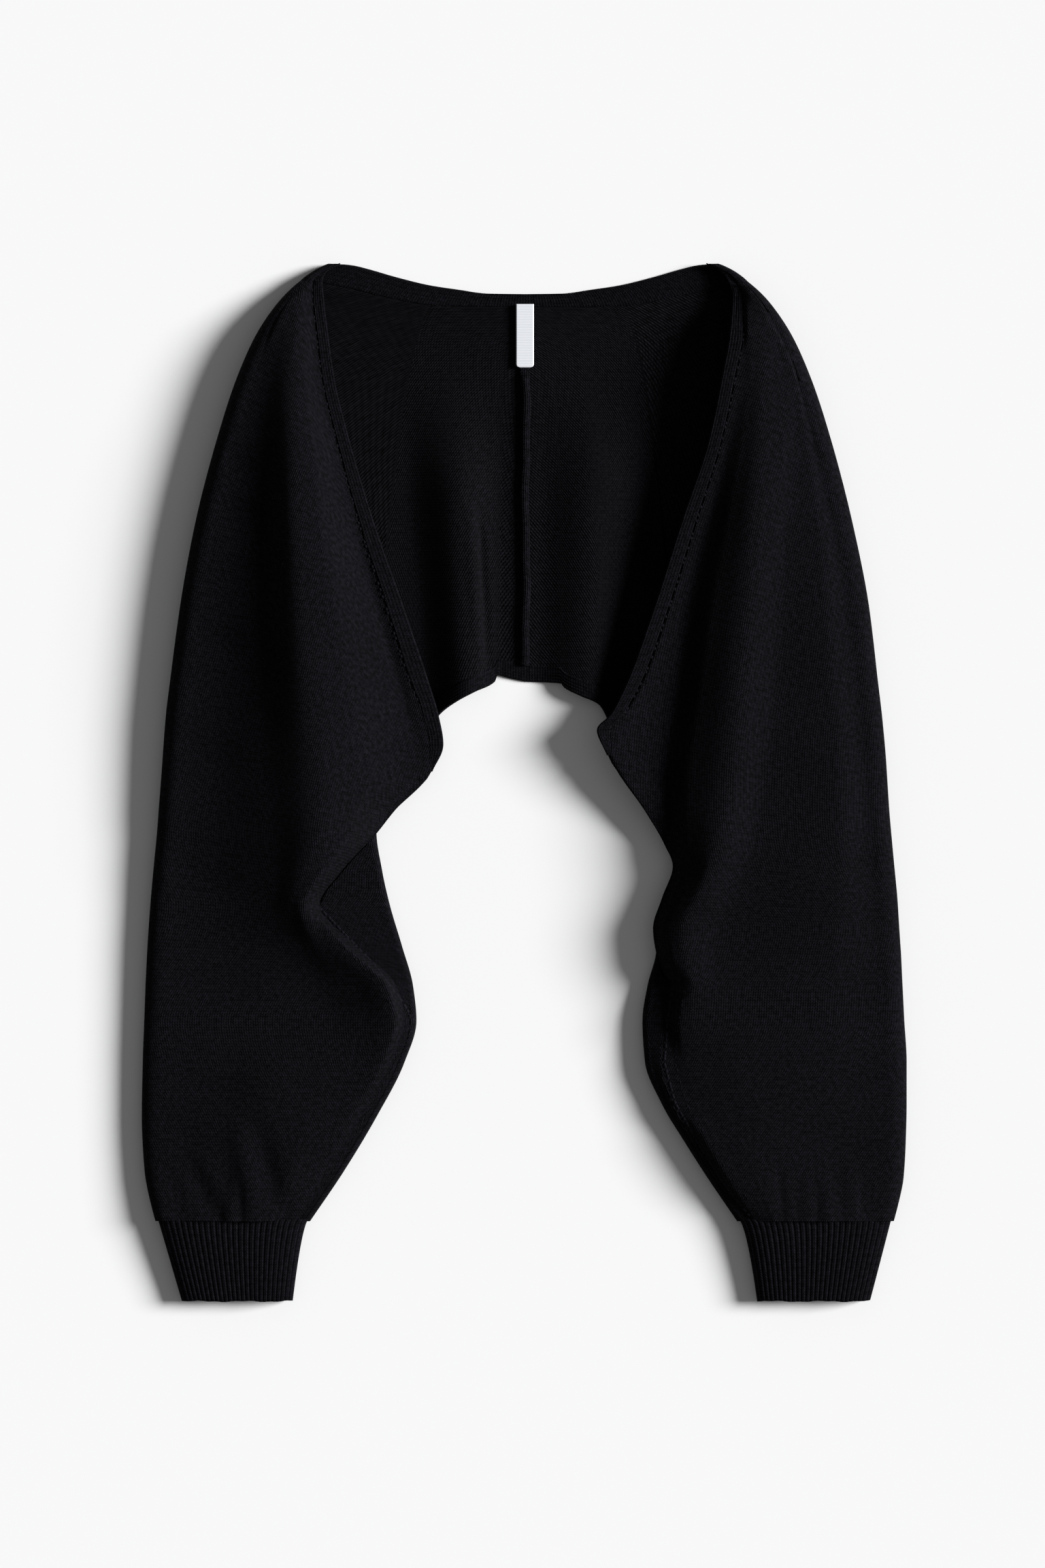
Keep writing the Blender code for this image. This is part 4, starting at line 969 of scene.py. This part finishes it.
seam = cloth("centre_back_seam_ridge", points, uv, lambda row, column: False, 1, SEAM_WALL, [plain_knit])
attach(seam, "root")
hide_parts("centre_back_seam")

# Label: a bare strip of white woven satin, sewn in under the neck band.
LABEL_WIDTH = 13.0
LABEL_TOP_Y = 351.0
LABEL_CORNER = 2.5
LABEL_WALL = 0.8
# A satin weft thread is 0.2 mm; it is drawn 1.2 mm, because a finer one doesn't show.
SATIN_WEFT = 1.2
SATIN_WAVE_SCALE = 2 * math.pi / 20 / (SATIN_WEFT * MM)
rows = np.linspace(LABEL_TOP_Y, LABEL_END_Y, 60)
across = np.linspace(-LABEL_WIDTH / 2, LABEL_WIDTH / 2, 17)
grid_x, grid_y = np.meshgrid(across, rows)
near_end = np.clip(1 - (grid_y - LABEL_END_Y) / LABEL_CORNER, 0, 1)
grid_x = grid_x * (1 - 2 * LABEL_CORNER / LABEL_WIDTH * (1 - np.sqrt(1 - near_end**2)))
grid_z = np.full_like(grid_x, CLOTH_WALL + SEAM_WALL + 2 * PIECE_GAP + LABEL_WALL / 2)
points = np.stack([grid_x, grid_y, grid_z], axis=-1)
uv = np.stack([grid_x, grid_y], axis=-1) * MM
satin = bpy.data.materials.new("white_satin")
satin.use_nodes = True
tree = satin.node_tree
satin_place = add(tree, "ShaderNodeUVMap", {}, uv_map="knit")
satin_weft = add(
    tree,
    "ShaderNodeTexWave",
    {"Vector": satin_place.outputs[0], "Scale": SATIN_WAVE_SCALE, "Distortion": 1.5, "Detail": 2.0},
    bands_direction="Y",
)
# Painted sheen: the weft stripes are lighter and darker in colour, as well as in their bump.
satin_colour_with_painted_sheen = add(
    tree,
    "ShaderNodeMix",
    {0: satin_weft.outputs[1], 6: linear("#dcdfe5"), 7: linear("#eceef2")},
    data_type="RGBA",
)
satin_bump = add(
    tree, "ShaderNodeBump", {"Strength": 0.6, "Distance": 0.12 * MM, "Height": satin_weft.outputs[1]}
)
satin_surface = tree.nodes["Principled BSDF"]
tree.links.new(satin_colour_with_painted_sheen.outputs[2], satin_surface.inputs["Base Color"])
tree.links.new(satin_bump.outputs[0], satin_surface.inputs["Normal"])
satin_surface.inputs["Roughness"].default_value = 0.45
satin_surface.inputs["Specular IOR Level"].default_value = 0.3
label = cloth("bare_satin_label", points, uv, lambda row, column: False, 1, LABEL_WALL, [satin])
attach(label, "root")
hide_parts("label")

# Floor: a plain pale surface.
floor_grid = bmesh.new()
bmesh.ops.create_grid(floor_grid, x_segments=1, y_segments=1, size=6.0)
floor_mesh = bpy.data.meshes.new("floor")
floor_grid.to_mesh(floor_mesh)
floor_grid.free()
floor = bpy.data.objects.new("floor", floor_mesh)
bpy.context.scene.collection.objects.link(floor)
pale = bpy.data.materials.new("pale_floor")
pale.use_nodes = True
pale_surface = pale.node_tree.nodes["Principled BSDF"]
pale_surface.inputs["Base Color"].default_value = (0.93, 0.93, 0.935, 1.0)
pale_surface.inputs["Roughness"].default_value = 1.0
pale_surface.inputs["Specular IOR Level"].default_value = 0.0
floor_mesh.materials.append(pale)

# Light: one wide soft light low on the right and a little up the garment, and a pale room.
KEY_HEIGHT_DEGREES = 23.0
KEY_TURN_DEGREES = 10.0
KEY_WIDTH_DEGREES = 20.0
KEY_STRENGTH = 7.0
ROOM_LIGHT = 0.14
key = bpy.data.lights.new("soft_key", "SUN")
key.energy = KEY_STRENGTH
key.angle = math.radians(KEY_WIDTH_DEGREES)
key_object = bpy.data.objects.new("soft_key", key)
height = math.radians(KEY_HEIGHT_DEGREES)
turn = math.radians(KEY_TURN_DEGREES)
way = Vector((math.cos(height) * math.cos(turn), math.cos(height) * math.sin(turn), math.sin(height)))
key_object.location = way
key_object.rotation_mode = "QUATERNION"
key_object.rotation_quaternion = way.to_track_quat("Z", "Y")
bpy.context.scene.collection.objects.link(key_object)
room = bpy.data.worlds.new("pale_room")
room.use_nodes = True
room.node_tree.nodes["Background"].inputs["Color"].default_value = (1.0, 1.0, 1.0, 1.0)
room.node_tree.nodes["Background"].inputs["Strength"].default_value = ROOM_LIGHT
bpy.context.scene.world = room
bpy.context.scene.view_settings.view_transform = "Standard"

# Camera: straight above, as the photograph was taken, 768 x 1152 mm of floor in the picture.
CAMERA_HEIGHT_M = 5.0
FRAME_LENGTH_M = 1.152
camera = bpy.data.cameras.new("camera")
camera.sensor_width = 36.0
camera.lens = camera.sensor_width * CAMERA_HEIGHT_M / FRAME_LENGTH_M
camera_object = bpy.data.objects.new("camera", camera)
camera_object.location = (-0.00115, -0.00184, CAMERA_HEIGHT_M)
bpy.context.scene.collection.objects.link(camera_object)
bpy.context.scene.camera = camera_object
